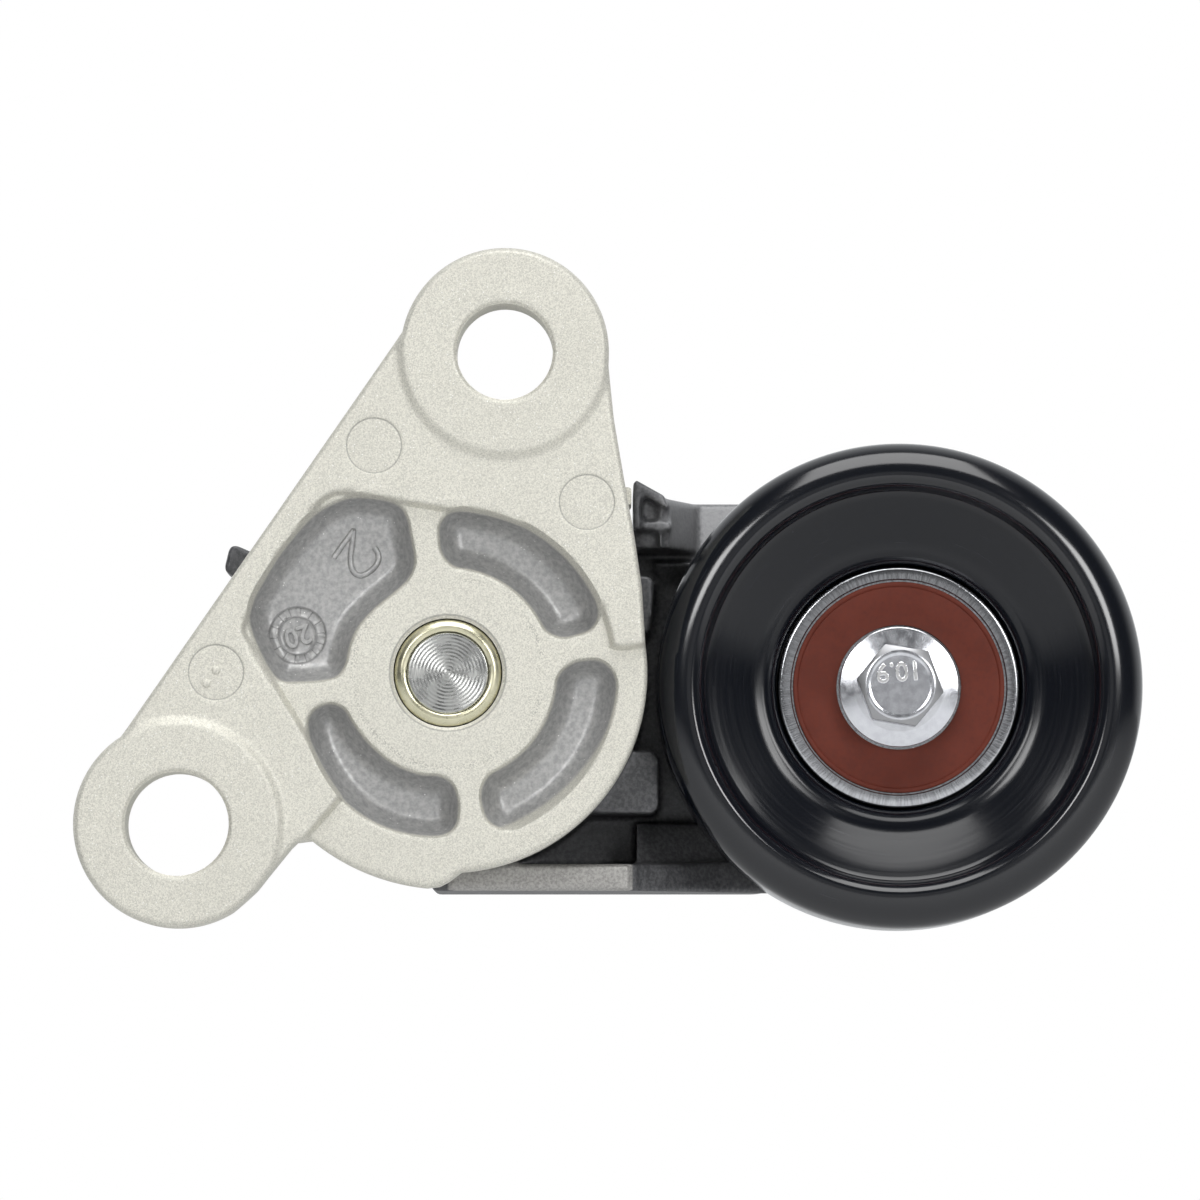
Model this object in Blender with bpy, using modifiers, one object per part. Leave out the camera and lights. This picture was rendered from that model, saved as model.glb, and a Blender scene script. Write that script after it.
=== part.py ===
"""Serpentine belt tensioner: a two-eared die-cast bracket, a sprung arm that swings on its
pivot pin, and a pulley on a sealed ball bearing. Metres, +X towards the pulley, +Z up,
+Y away from the engine. The origin is on the pivot axis, in the plane of the ear faces.
"""

import math

import bmesh
import bpy
from mathutils import Matrix, Vector

# Clearances
SEAT_GAP = 0.0003           # between pieces that seat on each other
RUNNING_GAP = 0.00025       # radial, between a round piece and the hole it turns in
BELT_CLEARANCE = 0.0010     # radial, between the pulley and the arm's ribs beside it
PULLEY_CLEARANCE = 0.00162  # between the pulley and the bracket's round part
LEDGE = 0.0003              # between the foot of the plate's step and a pocket's wall
OVERRUN = 0.0010            # of a cutter past a face, and of a joined solid into its neighbour

# Standard ball bearing, 17 x 40 x 12 mm
BEARING_BORE = 0.0170
BEARING_OUTER = 0.0400
BEARING_WIDTH = 0.0120
BALL_DIAMETER = 0.006747
BALL_COUNT = 8
BALL_GAP = 0.0002265        # radial, between a ball and the groove's section
LAND_OFFSET = 0.00215       # of each race's land from the circle of the balls' centres
SEAL_LAND_WALL = 0.0015     # of the inner race under the seal's lip
RACE_RIM = 0.00225          # of the outer race outside its seal
SEAL_SEAT_DEPTH = 0.0019
SEAL_THICKNESS = 0.0011
SEAL_RECESS = 0.0004        # of the seal's face behind the bearing's face
SEAL_BEAD = 0.0007          # width of the raised bead at the seal's edge
SEAL_BEAD_RISE = 0.00022
RACE_CHAMFER = 0.0006
CAGE_WALL = 0.0030
CAGE_NEAR = 0.0035          # of the cage's open side behind the bearing's near face
CAGE_POCKET_GAP = 0.00028
CAGE_BACK_GAP = 0.0002      # less than the seal's own gap, behind the cage

# Pulley
PULLEY_RADIUS = 0.0400
PULLEY_WIDTH = 0.0260
PULLEY_NEAR_Y = 0.0060      # plane of the rolled rim's crest
PULLEY_SHEET = 0.0024
RIM_ROLL_RADIUS = 0.00385
WEB_OUTER_RADIUS = 0.0314
WEB_INNER_RADIUS = 0.0234
WEB_DISH = 0.0034           # how much deeper the web is at the hub than at the rim
WEB_SET_BACK = 0.0042       # of the web's outer edge behind the rim's crest
HUB_ROLL_DEPTH = 0.0030     # of the rounded mouth from the web down into the bore
BEARING_SET_BACK = 0.0095   # of the bearing's near face behind the rim's crest
HUB_LIP = 0.0017            # how far the hub's far lip reaches in behind the bearing
HUB_LIP_THICKNESS = 0.0011
HUB_LIP_BEND = 0.0006
HUB_HEEL = 0.0004           # of the hub's outer wall past the web's inner edge
ROLL_BLEND = (0.0022, 0.0016)   # outwards and back, from the web's edge into the rolled rim
RIM_EDGE_CHAMFER = 0.0006

# Arm
ARM_LEAN = math.radians(-1.4)
DRUM_INSET = 0.0005         # of the drum inside the bracket's round part
DRUM_WALL = 0.0034
DRUM_NEAR_Y = 0.0146
DRUM_FAR_Y = 0.0460
DRUM_END_WALL = 0.0045
DRUM_CHAMFER = 0.0015
HUB_BORE_RADIUS = 0.0103
HUB_RADIUS = 0.0132
HUB_NEAR_Y = 0.0181
COVER_SEAT_RADIUS = 0.0165
COVER_SEAT_DEPTH = 0.0035
WEB_NEAR_Y = 0.0340
WEB_FAR_Y = 0.0440
WEB_FILLET = 0.0005
ARM_TOP_Z = 0.0299
ARM_RAIL_DROP = 0.0033      # of the arm's lower edge below the drum
ARM_LEFT_X = -0.0030
ARM_EDGE_LOW_Z = 0.0200     # where the web's left edge meets the drum
ARM_SHOULDER_SETBACK = 0.0243   # from the pulley's axis back to where the arm narrows
ARM_SHOULDER_LAG = 0.0020   # of the lower shoulder behind the upper one
ARM_SHOULDER_TOP_FILLET = 0.0080
ARM_SHOULDER_LOW_FILLET = 0.0060
ARM_TIP_RADIUS = 0.0180
RIB_NEAR_Y = 0.0165
RIB_WALL = 0.0024
RAIL_HEIGHT = 0.0045
RAIL_NEAR_Y = 0.0150
RAIL_END_GAP = 0.0025       # of the rail's end before the ring of space round the pulley
STRIP_RISE = 0.0010
STRIP_INSET = 0.0002        # of the strip's long edges from the rail's
STRIP_SPAN = (0.0004, 0.0299)   # left, right
STRIP_EDGE = 0.0003
CAST_FILLET = 0.0008
RIB_EDGE = 0.0005           # fillet round the near ends of ribs and pads
LOWER_PAD_SPAN = (-0.0226, -0.0124)     # bottom, top
UPPER_PAD_SPAN = (0.0070, 0.0168)
UPPER_PAD_REACH = 0.0011    # of the pad's lower right corner past the drum
UPPER_PAD_SPREAD = 0.0007   # of its upper right corner past the lower one
UPPER_PAD_DROP = 0.0010     # of its face behind the other ribs
PAD_CORNER = 0.0016
LOWER_RIB_X = 0.0312
LOWER_RIB_DROP = 0.0040
BOSS_RADIUS = 0.0125
BOSS_FOOT = 0.0022          # how far the boss widens into the web
PILOT_LENGTH = 0.0060
THREAD_DEPTH = 0.0170
HEX_LUG_ACROSS = 0.0150
HEX_LUG_HEIGHT = 0.0080
HEX_LUG_CHAMFER = 0.0008
FRONT_RIB_WIDTH = 0.0060
FRONT_RIB_RISE = 0.0022
RAMP_LUG_TOP_Z = 0.0329
RAMP_LUG_TOP_RIGHT_X = 0.0357
RAMP_LUG_RIGHT_X = 0.0379
RAMP_LUG_BOTTOM_Z = 0.0214
RAMP_LUG_WALL = 0.0013
RAMP_LUG_RIB_Z = 0.0250     # middle of the rib between the lug's two pockets
RAMP_LUG_CORNER = 0.0006
RAMP_POCKET_DEPTH = 0.0145
CORNER_POCKET_SIDES = (0.0036, 0.0035)  # across, up
LEFT_LUG_RADIUS = 0.0424
LEFT_LUG_TAPER = 0.0012
LEFT_LUG_ROOT = 1.4         # width of the lug's root over that of its tip
LEFT_LUG_ANGLE = math.radians(151.6)
LEFT_LUG_WIDTH = 0.0046
LEFT_LUG_DEPTH = 0.0120

# Spring
WIRE_DIAMETER = 0.0048
COIL_GAP = 0.0008           # radial, between the coil and its plastic sleeve
COIL_PITCH = 0.0054
SPRING_START = math.radians(200.0)
SPRING_SEAT_GAP = 0.0005
SPRING_END_GAP = 0.0008     # between a cut end's middle and its lug, as the cut isn't square
SPRING_STOP_ANGLE = math.radians(14.0)
SLEEVE_WALL = 0.0013
SLEEVE_NEAR_Y = 0.0200
SLEEVE_END_GAP = 0.0010     # of its far end before the spring's last turn

# Pivot
PIN_RADIUS = 0.0067
PIN_FACE_Y = 0.0036
PIN_HEAD_RADIUS = 0.0105
PIN_HEAD_THICKNESS = 0.0030
PIN_FACE_CHAMFER = 0.0003
PIN_SLEEVE_WALL = 0.00085
FLARE_RADIUS = 0.00875
FLARE_DEPTH = 0.0022
FLARE_LIP = 0.0004
FLARE_CROWN = 0.0006        # how far the flare's outer edge lies behind its inner edge
PIN_HOLE_CHAMFER = 0.00045
BUSH_WALL = 0.0020
BUSH_LENGTH = 0.0120
BUSH_FLANGE_RADIUS = 0.0128
BUSH_FLANGE = 0.0010
THRUST_WASHER_RADIUS = 0.0125
THRUST_WASHER_THICKNESS = 0.0015
COVER_WALL = 0.0010
COVER_HEIGHT = 0.0072
COVER_EDGE = 0.0014
FRICTION_RING_WIDTH = 0.0033
FRICTION_RING_INSET = 0.0014    # of its outer edge inside the drum's

# Pulley bolt, M10 flange bolt
BOLT_ACROSS_FLATS = 0.01275
BOLT_FLANGE_RADIUS = 0.0099
BOLT_FLANGE_EDGE = 0.0010
BOLT_FLANGE_RISE = 0.0008
BOLT_HEAD_HEIGHT = 0.0086
BOLT_HEAD_CHAMFER = 0.0008
BOLT_CROWN = 0.00128        # how far down the chamfer reaches at the hexagon's corners
BOLT_FLANGE_FOOT = 0.0004   # of the flange's cone inside the hexagon's flats
BOLT_SHANK_RADIUS = 0.0049
BOLT_TURN = math.radians(-10.0)
BOLT_TIP = 0.0012

# Bracket
UPPER_EAR = (0.0093, 0.0526)
LOWER_EAR = (-0.04425, -0.0248)
UPPER_EAR_RADIUS = 0.0171
LOWER_EAR_RADIUS = 0.0170
UPPER_HOLE_RADIUS = 0.0079
LOWER_HOLE_RADIUS = 0.0085
HOLE_CHAMFER = 0.0005
EAR_THICKNESS = 0.0130
EAR_EDGE_FILLET = 0.0009
PLATE_Y = 0.0010            # face of the raised plate
PLATE_BACK_Y = 0.0095
PLATE_FILLET = 0.0010
PLATE_EDGE_OFFSET = 0.0157  # of the plate's left edge from the line between the ears
DISC_Y = 0.0030             # face of the hub, the spokes and the rim
DISC_BACK_Y = 0.0120
DISC_RADIUS = 0.0327
DISC_FILLET = 0.0008
DISC_TO = math.radians(112.0)
BULGE_RADIUS = 0.0355
BULGE_FROM = math.radians(165.0)
BULGE_TO = math.radians(-94.0)
NARROW_FROM = math.radians(-87.0)
RIGHT_EDGE = (              # corners of the plate's right edge, from the top: x, z, fillet
    (0.0258, 0.0536, 0.0),
    (0.0272, 0.0416, 0.0200),
    (0.0292, 0.0299, 0.0200),
    (0.0318, 0.0140, 0.0200),
    (0.0324, 0.0050, 0.0006),
)
LOWER_EDGE = (              # corners from the foot of the step to the lower ear
    (-0.0240, -0.0274, 0.0008),
    (-0.0257, -0.0288, 0.0020),
    (-0.03075, -0.0338, 0.0),
)
STEP_CORNERS = (            # of the plate's step down to the disc, from right to left
    (-0.0206, 0.0303, 0.0050),
    (-0.0282, 0.0196, 0.0100),
    (-0.0339, 0.0080, 0.0030),
    (-0.0176, -0.0200, 0.0006),
)
STEP_RADIUS = 0.0275        # of the round stretch of the plate's step
STEP_FROM = math.radians(8.5)
STEP_TO = math.radians(63.5)
STEP_OVERLAP = 0.0018       # how far the hub part reaches in under the plate
POCKET_FLOOR_Y = 0.0090
POCKET_FILLET = 0.0018
POCKET_DRAFT = 0.0005
POCKET_CORNER = 0.0030
POCKET_INNER_RADIUS = 0.0178
POCKET_OUTER_RADIUS = 0.0277
RIGHT_POCKET_SPAN = (math.radians(-75.0), math.radians(5.0))
UPPER_POCKET_INNER = 0.0175
UPPER_POCKET_OUTER = 0.0258
UPPER_POCKET_SPAN = (math.radians(14.5), math.radians(93.0))
BIG_POCKET_INNER = 0.0182
BIG_POCKET_ARC = (math.radians(170.0), math.radians(113.0))
BIG_POCKET_TOP = (0.0, 0.0271)      # where its upper wall's line crosses X = 0
BIG_POCKET_RIGHT_X = -0.0073
BIG_POCKET_BOTTOM_Z = -0.0019
BIG_POCKET_CORNERS = (0.0016, 0.0018)   # fillets at its upper right and lower left
BIG_POCKET_HUB_CORNERS = ((-0.0181, -0.0016, 0.0026), (-0.0049, 0.0194, 0.0026))
LOW_POCKET_CUT = (0.0185, 0.0290)   # along the step, where the pocket's straight wall runs
LOW_POCKET_SHRINK = 0.0008  # of its end's radii below the right pocket's
LOW_POCKET_RIM = (math.radians(232.0), math.radians(264.0))
LOW_POCKET_HUB = (math.radians(266.0), math.radians(216.0))
LOW_POCKET_END = (math.radians(274.5), math.radians(275.0))
LOW_POCKET_HUB_CORNER = (0.0192, math.radians(197.0))   # radius, angle
LOW_POCKET_FILLETS = (0.0024, 0.0030, 0.0020, 0.0026)
BACK_HUB_RADIUS = 0.0120
BACK_HUB_Y = 0.0165
GUIDE_WALL = 0.0031         # of the ring inside the spring's first turn
GUIDE_GAP = 0.0007          # radial, between the ring and the coil
GUIDE_Y = 0.0200
BACK_RIB_WIDTH = 0.0034
BACK_RIB_Y = 0.0125
BACK_RIB_MARGIN = 0.0120    # of the left rib's ends from the plate's corners
BACK_RIB_INSET = 0.0015     # of its middle from the plate's edge
RIGHT_RIB = ((0.0218, 0.0446), (0.0288, 0.0205))
STOP_TAB = (0.0262, 0.0301, 0.0277, 0.0306)     # left, right, bottom, top
STOP_TAB_NEAR_Y = 0.0050
STOP_TAB_FAR_Y = 0.0195

# Facets
ROUND_STEPS = 40
HIDDEN_STEPS = 24
ARC_STEP = math.radians(12.0)
FILLET_STEPS = 2
POCKET_FILLET_STEPS = 2
WIRE_STEPS = 18             # points in a turn of the spring
SAME_PLACE = 1e-6           # points nearer than this are one

# Places worked out from the sizes above
ARM_LENGTH = DISC_RADIUS + PULLEY_CLEARANCE + PULLEY_RADIUS
PULLEY_X = ARM_LENGTH * math.cos(ARM_LEAN)
PULLEY_Z = ARM_LENGTH * math.sin(ARM_LEAN)
BALL_PITCH_RADIUS = (BEARING_BORE + BEARING_OUTER) / 4
RACEWAY_RADIUS = BALL_DIAMETER / 2 + BALL_GAP
INNER_LAND_RADIUS = BALL_PITCH_RADIUS - LAND_OFFSET
OUTER_LAND_RADIUS = BALL_PITCH_RADIUS + LAND_OFFSET
SEAL_LAND_RADIUS = BEARING_BORE / 2 + SEAL_LAND_WALL
SEAL_SEAT_RADIUS = BEARING_OUTER / 2 - RACE_RIM
CAGE_INNER_RADIUS = BALL_PITCH_RADIUS - CAGE_WALL / 2
CAGE_OUTER_RADIUS = BALL_PITCH_RADIUS + CAGE_WALL / 2
BEARING_NEAR_Y = PULLEY_NEAR_Y + BEARING_SET_BACK
BEARING_FAR_Y = BEARING_NEAR_Y + BEARING_WIDTH
BEARING_MID_Y = BEARING_NEAR_Y + BEARING_WIDTH / 2
PIN_SLEEVE_INNER = PIN_RADIUS + RUNNING_GAP
PIN_SLEEVE_OUTER = PIN_SLEEVE_INNER + PIN_SLEEVE_WALL
BRACKET_BORE_RADIUS = PIN_SLEEVE_OUTER + RUNNING_GAP
BUSH_INNER = PIN_SLEEVE_OUTER + RUNNING_GAP
BUSH_OUTER = HUB_BORE_RADIUS - RUNNING_GAP
HUB_FAR_Y = DRUM_FAR_Y - COVER_SEAT_DEPTH
FRONT_BUSH_FAR_Y = HUB_FAR_Y + SEAT_GAP + BUSH_FLANGE
WASHER_NEAR_Y = FRONT_BUSH_FAR_Y + SEAT_GAP
WASHER_FAR_Y = WASHER_NEAR_Y + THRUST_WASHER_THICKNESS
PIN_HEAD_Y = WASHER_FAR_Y + SEAT_GAP
PIN_END_Y = PIN_HEAD_Y + PIN_HEAD_THICKNESS
DRUM_RADIUS = DISC_RADIUS - DRUM_INSET
DRUM_INNER = DRUM_RADIUS - DRUM_WALL
ARM_BOTTOM_Z = -DRUM_RADIUS - ARM_RAIL_DROP
COIL_RADIUS = DRUM_INNER - SEAT_GAP - SLEEVE_WALL - COIL_GAP - WIRE_DIAMETER / 2
GUIDE_OUTER_RADIUS = COIL_RADIUS - WIRE_DIAMETER / 2 - GUIDE_GAP
GUIDE_INNER_RADIUS = GUIDE_OUTER_RADIUS - GUIDE_WALL
FRICTION_RING_OUTER = DRUM_RADIUS - FRICTION_RING_INSET
FRICTION_RING_INNER = FRICTION_RING_OUTER - FRICTION_RING_WIDTH
SPRING_NEAR_Y = DISC_BACK_Y + SPRING_SEAT_GAP + WIRE_DIAMETER / 2
SPRING_FAR_Y = DRUM_FAR_Y - DRUM_END_WALL - SPRING_SEAT_GAP - WIRE_DIAMETER / 2
PULLEY_KEEP_OUT = PULLEY_RADIUS + BELT_CLEARANCE
DRUM_WALL_MIDDLE = DRUM_RADIUS - DRUM_WALL / 2
ARM_EDGE_X = STOP_TAB[1] + SEAT_GAP

MATERIALS = {
    "cast_aluminium": ((0.58, 0.57, 0.53, 1.0), 0.55, 0.6),
    "black_casting": ((0.022, 0.023, 0.026, 1.0), 0.50, 0.2),
    "gloss_black": ((0.006, 0.007, 0.010, 1.0), 0.18, 0.1),
    "bright_steel": ((0.55, 0.56, 0.57, 1.0), 0.25, 1.0),
    "zinc_yellow": ((0.62, 0.58, 0.40, 1.0), 0.35, 0.9),
    "zinc_plate": ((0.60, 0.61, 0.60, 1.0), 0.28, 1.0),
    "seal_rubber": ((0.15, 0.033, 0.022, 1.0), 0.55, 0.0),
    "nylon": ((0.05, 0.05, 0.05, 1.0), 0.45, 0.0),
    "cage_nylon": ((0.45, 0.33, 0.16, 1.0), 0.50, 0.0),
    "spring_steel": ((0.10, 0.10, 0.11, 1.0), 0.40, 0.8),
}


# Scene and materials


def clear_scene():
    """Removes the objects, and the meshes and curves that they leave."""
    for obj in list(bpy.data.objects):
        bpy.data.objects.remove(obj, do_unlink=True)
    for store in (bpy.data.meshes, bpy.data.curves):
        for block in list(store):
            store.remove(block)


def new_collection(name):
    """Returns a new collection linked to the scene."""
    made = bpy.data.collections.new(name)
    bpy.context.scene.collection.children.link(made)
    return made


def new_material(name, colour, roughness, metallic):
    """Returns a Principled material."""
    material = bpy.data.materials.new(name)
    material.use_nodes = True
    shader = material.node_tree.nodes["Principled BSDF"]
    shader.inputs["Base Color"].default_value = colour
    shader.inputs["Roughness"].default_value = roughness
    shader.inputs["Metallic"].default_value = metallic
    material.diffuse_color = colour
    return material


# Outlines in the plane of X and Z


def polar(radius, angle):
    """Returns the point at this radius and angle round the pivot axis."""
    return (radius * math.cos(angle), radius * math.sin(angle))


def arc(radius, start, end, centre=(0.0, 0.0)):
    """Returns points along an arc, both ends included."""
    steps = max(2, math.ceil(abs(end - start) / ARC_STEP))
    found = []
    for step in range(steps + 1):
        angle = start + (end - start) * step / steps
        found.append(
            (centre[0] + radius * math.cos(angle), centre[1] + radius * math.sin(angle))
        )
    return found


def rounded(corners):
    """Returns a closed outline from (x, z, fillet radius) corners, with an arc at each."""
    found = []
    count = len(corners)
    for index, (x, z, radius) in enumerate(corners):
        here = Vector((x, z))
        back = Vector(corners[index - 1][:2]) - here
        ahead = Vector(corners[(index + 1) % count][:2]) - here
        turn = back.angle(ahead)
        reach = radius / math.tan(turn / 2) if radius else 0.0
        reach = min(reach, 0.49 * back.length, 0.49 * ahead.length)
        sweep = math.pi - turn
        if reach < SAME_PLACE or sweep < math.radians(1.0):
            found.append((x, z))
            continue
        fillet = reach * math.tan(turn / 2)
        middle = (back.normalized() + ahead.normalized()).normalized()
        centre = here + middle * (fillet / math.sin(turn / 2))
        first = here + back.normalized() * reach - centre
        last = here + ahead.normalized() * reach - centre
        steps = max(1, math.ceil(sweep / (2 * ARC_STEP)))
        side = 1.0 if first.x * last.y - first.y * last.x > 0 else -1.0
        for step in range(steps + 1):
            angle = side * sweep * step / steps
            found.append(
                (
                    centre.x + first.x * math.cos(angle) - first.y * math.sin(angle),
                    centre.y + first.x * math.sin(angle) + first.y * math.cos(angle),
                )
            )
    return found


def inset(points, distance):
    """Returns an open chain of (x, z, radius) corners moved to its left by a distance."""
    found = []
    for index, (x, z, radius) in enumerate(points):
        here = Vector((x, z))
        normals = []
        if index:
            along = (here - Vector(points[index - 1][:2])).normalized()
            normals.append(Vector((-along.y, along.x)))
        if index < len(points) - 1:
            along = (Vector(points[index + 1][:2]) - here).normalized()
            normals.append(Vector((-along.y, along.x)))
        normal = sum(normals, Vector((0.0, 0.0))).normalized()
        moved = here + normal * (distance / normal.dot(normals[0]))
        found.append((moved.x, moved.y, max(radius - distance, 0.0)))
    return found


# Solids


def object_from(name, bm, collection):
    """Makes an object from a bmesh, with its faces pointing out, and frees the bmesh."""
    bmesh.ops.recalc_face_normals(bm, faces=bm.faces)
    mesh = bpy.data.meshes.new(name)
    bm.to_mesh(mesh)
    bm.free()
    obj = bpy.data.objects.new(name, mesh)
    collection.objects.link(obj)
    return obj


def round_rim(bm, level, width, steps, axis=1):
    """Rounds the edges round the flat cap that lies at this level of Y."""
    near = SAME_PLACE
    rim = [
        edge
        for edge in bm.edges
        if all(abs(vert.co[axis] - level) < near for vert in edge.verts)
        and any(abs(face.normal[axis]) < 0.5 for face in edge.link_faces)
    ]
    bmesh.ops.bevel(
        bm,
        geom=rim,
        offset=width,
        offset_type="OFFSET",
        segments=steps,
        profile=0.5,
        affect="EDGES",
        clamp_overlap=True,
    )


def prism(name, outline, near_y, far_y, collection, near_fillet=0.0, far_fillet=0.0,
          draft=0.0, steps=FILLET_STEPS):
    """Makes a plate from an outline of (x, z) points between two levels of Y.

    A fillet rounds the rim of that end. The draft draws the far end in, as a die needs.
    """
    curve = bpy.data.curves.new(name, "CURVE")
    curve.dimensions = "2D"
    curve.fill_mode = "BOTH"
    curve.extrude = (far_y - near_y) / 2
    spline = curve.splines.new("POLY")
    spline.points.add(len(outline) - 1)
    for point, (x, z) in zip(spline.points, outline):
        point.co = (x, z, 0.0, 1.0)
    spline.use_cyclic_u = True
    guide = bpy.data.objects.new(name + "_guide", curve)
    bpy.context.scene.collection.objects.link(guide)
    guide.location = (0.0, (near_y + far_y) / 2, 0.0)
    guide.rotation_euler = (math.pi / 2, 0.0, 0.0)
    bpy.context.view_layer.update()
    graph = bpy.context.evaluated_depsgraph_get()
    mesh = bpy.data.meshes.new_from_object(guide.evaluated_get(graph))
    mesh.transform(guide.matrix_world)
    bpy.data.objects.remove(guide, do_unlink=True)
    bm = bmesh.new()
    bm.from_mesh(mesh)
    bpy.data.meshes.remove(mesh)
    bmesh.ops.remove_doubles(bm, verts=bm.verts, dist=SAME_PLACE)
    bmesh.ops.dissolve_limit(
        bm, angle_limit=math.radians(0.5), verts=bm.verts, edges=bm.edges
    )
    bmesh.ops.recalc_face_normals(bm, faces=bm.faces)
    bm.normal_update()
    if draft:
        draw_in(bm, far_y, draft)
    if near_fillet:
        round_rim(bm, near_y, near_fillet, steps)
    if far_fillet:
        round_rim(bm, far_y, far_fillet, steps)
    return object_from(name, bm, collection)


def draw_in(bm, level, distance):
    """Moves the points at this level of Y inwards, square to the walls that meet there."""
    moves = {}
    for vert in bm.verts:
        if abs(vert.co.y - level) > SAME_PLACE:
            continue
        normals = [
            Vector((face.normal.x, 0.0, face.normal.z)).normalized()
            for face in vert.link_faces
            if abs(face.normal.y) < 0.5
        ]
        normal = sum(normals, Vector()).normalized()
        moves[vert] = -normal * (distance / max(normal.dot(normals[0]), 0.5))
    for vert, move in moves.items():
        vert.co += move


def turned(name, profile, collection, centre=(0.0, 0.0), steps=ROUND_STEPS):
    """Turns a closed (radius, y) profile about the Y axis through a centre."""
    bm = bmesh.new()
    verts = [bm.verts.new((radius, y, 0.0)) for radius, y in profile]
    for index, vert in enumerate(verts):
        bm.edges.new((vert, verts[(index + 1) % len(verts)]))
    mesh = bpy.data.meshes.new(name)
    bm.to_mesh(mesh)
    bm.free()
    obj = bpy.data.objects.new(name, mesh)
    collection.objects.link(obj)
    obj.location = (centre[0], 0.0, centre[1])
    screw = obj.modifiers.new("Turn", "SCREW")
    screw.axis = "Y"
    screw.angle = math.tau
    screw.steps = steps
    screw.render_steps = steps
    screw.use_merge_vertices = True
    screw.merge_threshold = SAME_PLACE
    screw.use_normal_calculate = True
    return obj


def turned_solid(name, profile, collection, centre=(0.0, 0.0), steps=ROUND_STEPS):
    """Turns an open profile that starts and ends on the axis, and applies the turn."""
    return settled(turned(name, profile, collection, centre, steps))


def settled(obj):
    """Applies an object's modifiers and its place, and turns its faces outwards."""
    bpy.context.view_layer.update()
    graph = bpy.context.evaluated_depsgraph_get()
    mesh = bpy.data.meshes.new_from_object(obj.evaluated_get(graph))
    mesh.transform(obj.matrix_world)
    obj.modifiers.clear()
    old = obj.data
    obj.data = mesh
    obj.location = (0.0, 0.0, 0.0)
    obj.rotation_euler = (0.0, 0.0, 0.0)
    if old.users == 0:
        bpy.data.meshes.remove(old)
    bm = bmesh.new()
    bm.from_mesh(mesh)
    bmesh.ops.remove_doubles(bm, verts=bm.verts, dist=SAME_PLACE)
    bmesh.ops.dissolve_degenerate(bm, dist=1e-7, edges=bm.edges)
    bmesh.ops.recalc_face_normals(bm, faces=bm.faces)
    bm.to_mesh(mesh)
    bm.free()
    return obj


def cylinder(name, radius, near_y, far_y, collection, centre=(0.0, 0.0), steps=ROUND_STEPS,
             near_fillet=0.0, far_fillet=0.0, turn=0.0):
    """Makes a cylinder along Y, whose ends may be rounded."""
    bm = bmesh.new()
    place = (
        Matrix.Translation((centre[0], (near_y + far_y) / 2, centre[1]))
        @ Matrix.Rotation(-turn, 4, "Y")
        @ Matrix.Rotation(math.pi / 2, 4, "X")
    )
    bmesh.ops.create_cone(
        bm,
        cap_ends=True,
        segments=steps,
        radius1=radius,
        radius2=radius,
        depth=far_y - near_y,
        matrix=place,
    )
    bm.normal_update()
    if near_fillet:
        round_rim(bm, near_y, near_fillet, FILLET_STEPS)
    if far_fillet:
        round_rim(bm, far_y, far_fillet, FILLET_STEPS)
    return object_from(name, bm, collection)


def block(name, left, right, near_y, far_y, low, high, collection, near_fillet=0.0):
    """Makes a box between these limits of X, Y and Z, its near edges rounded if asked."""
    bm = bmesh.new()
    size = Matrix.Diagonal((right - left, far_y - near_y, high - low, 1.0))
    middle = ((left + right) / 2, (near_y + far_y) / 2, (low + high) / 2)
    bmesh.ops.create_cube(bm, size=1.0, matrix=Matrix.Translation(middle) @ size)
    bm.normal_update()
    if near_fillet:
        round_rim(bm, near_y, near_fillet, 1)
    return object_from(name, bm, collection)


def hexagon(across, turn, centre=(0.0, 0.0)):
    """Returns the corners of a hexagon of this width across its flats."""
    reach = across / math.sqrt(3)
    return [
        (
            centre[0] + reach * math.cos(turn + math.radians(60 * index)),
            centre[1] + reach * math.sin(turn + math.radians(60 * index)),
        )
        for index in range(6)
    ]


def combine(base, others, operation):
    """Applies one Boolean after another to the base, and removes the other objects."""
    for other in others:
        modifier = base.modifiers.new(operation.title(), "BOOLEAN")
        modifier.operation = operation
        modifier.solver = "EXACT"
        modifier.object = other
        bpy.context.view_layer.update()
        graph = bpy.context.evaluated_depsgraph_get()
        mesh = bpy.data.meshes.new_from_object(base.evaluated_get(graph))
        base.modifiers.clear()
        old = base.data
        base.data = mesh
        bpy.data.meshes.remove(old)
        bpy.data.objects.remove(other, do_unlink=True)
    return base


def join(base, *others):
    """Unites solids that meet into the base."""
    return combine(base, others, "UNION")


def cut(base, *cutters):
    """Takes the cutters out of the base."""
    return combine(base, cutters, "DIFFERENCE")


def ring(name, inner, outer, near_y, far_y, collection, centre=(0.0, 0.0),
         steps=HIDDEN_STEPS):
    """Makes a plain ring about Y."""
    profile = [(outer, far_y), (outer, near_y), (inner, near_y), (inner, far_y)]
    return settled(turned(name, profile, collection, centre, steps))


# Bracket


def plate_edges():
    """Returns the two ends of the plate's left edge, lower and upper."""
    lower = Vector(LOWER_EAR)
    upper = Vector(UPPER_EAR)
    along = (upper - lower).normalized()
    out = Vector((-along.y, along.x)) * PLATE_EDGE_OFFSET
    return lower + out, upper + out


def plate_outline():
    """Returns the raised plate's outline, from the upper ear round by the right side."""
    lower_left, upper_left = plate_edges()
    corners = list(RIGHT_EDGE)
    corners += [(x, z, 0.0) for x, z in arc(STEP_RADIUS, STEP_FROM, STEP_TO)]
    corners += STEP_CORNERS
    corners += LOWER_EDGE
    corners += [(*lower_left, 0.0), (*upper_left, 0.0)]
    return rounded(corners)


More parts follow.
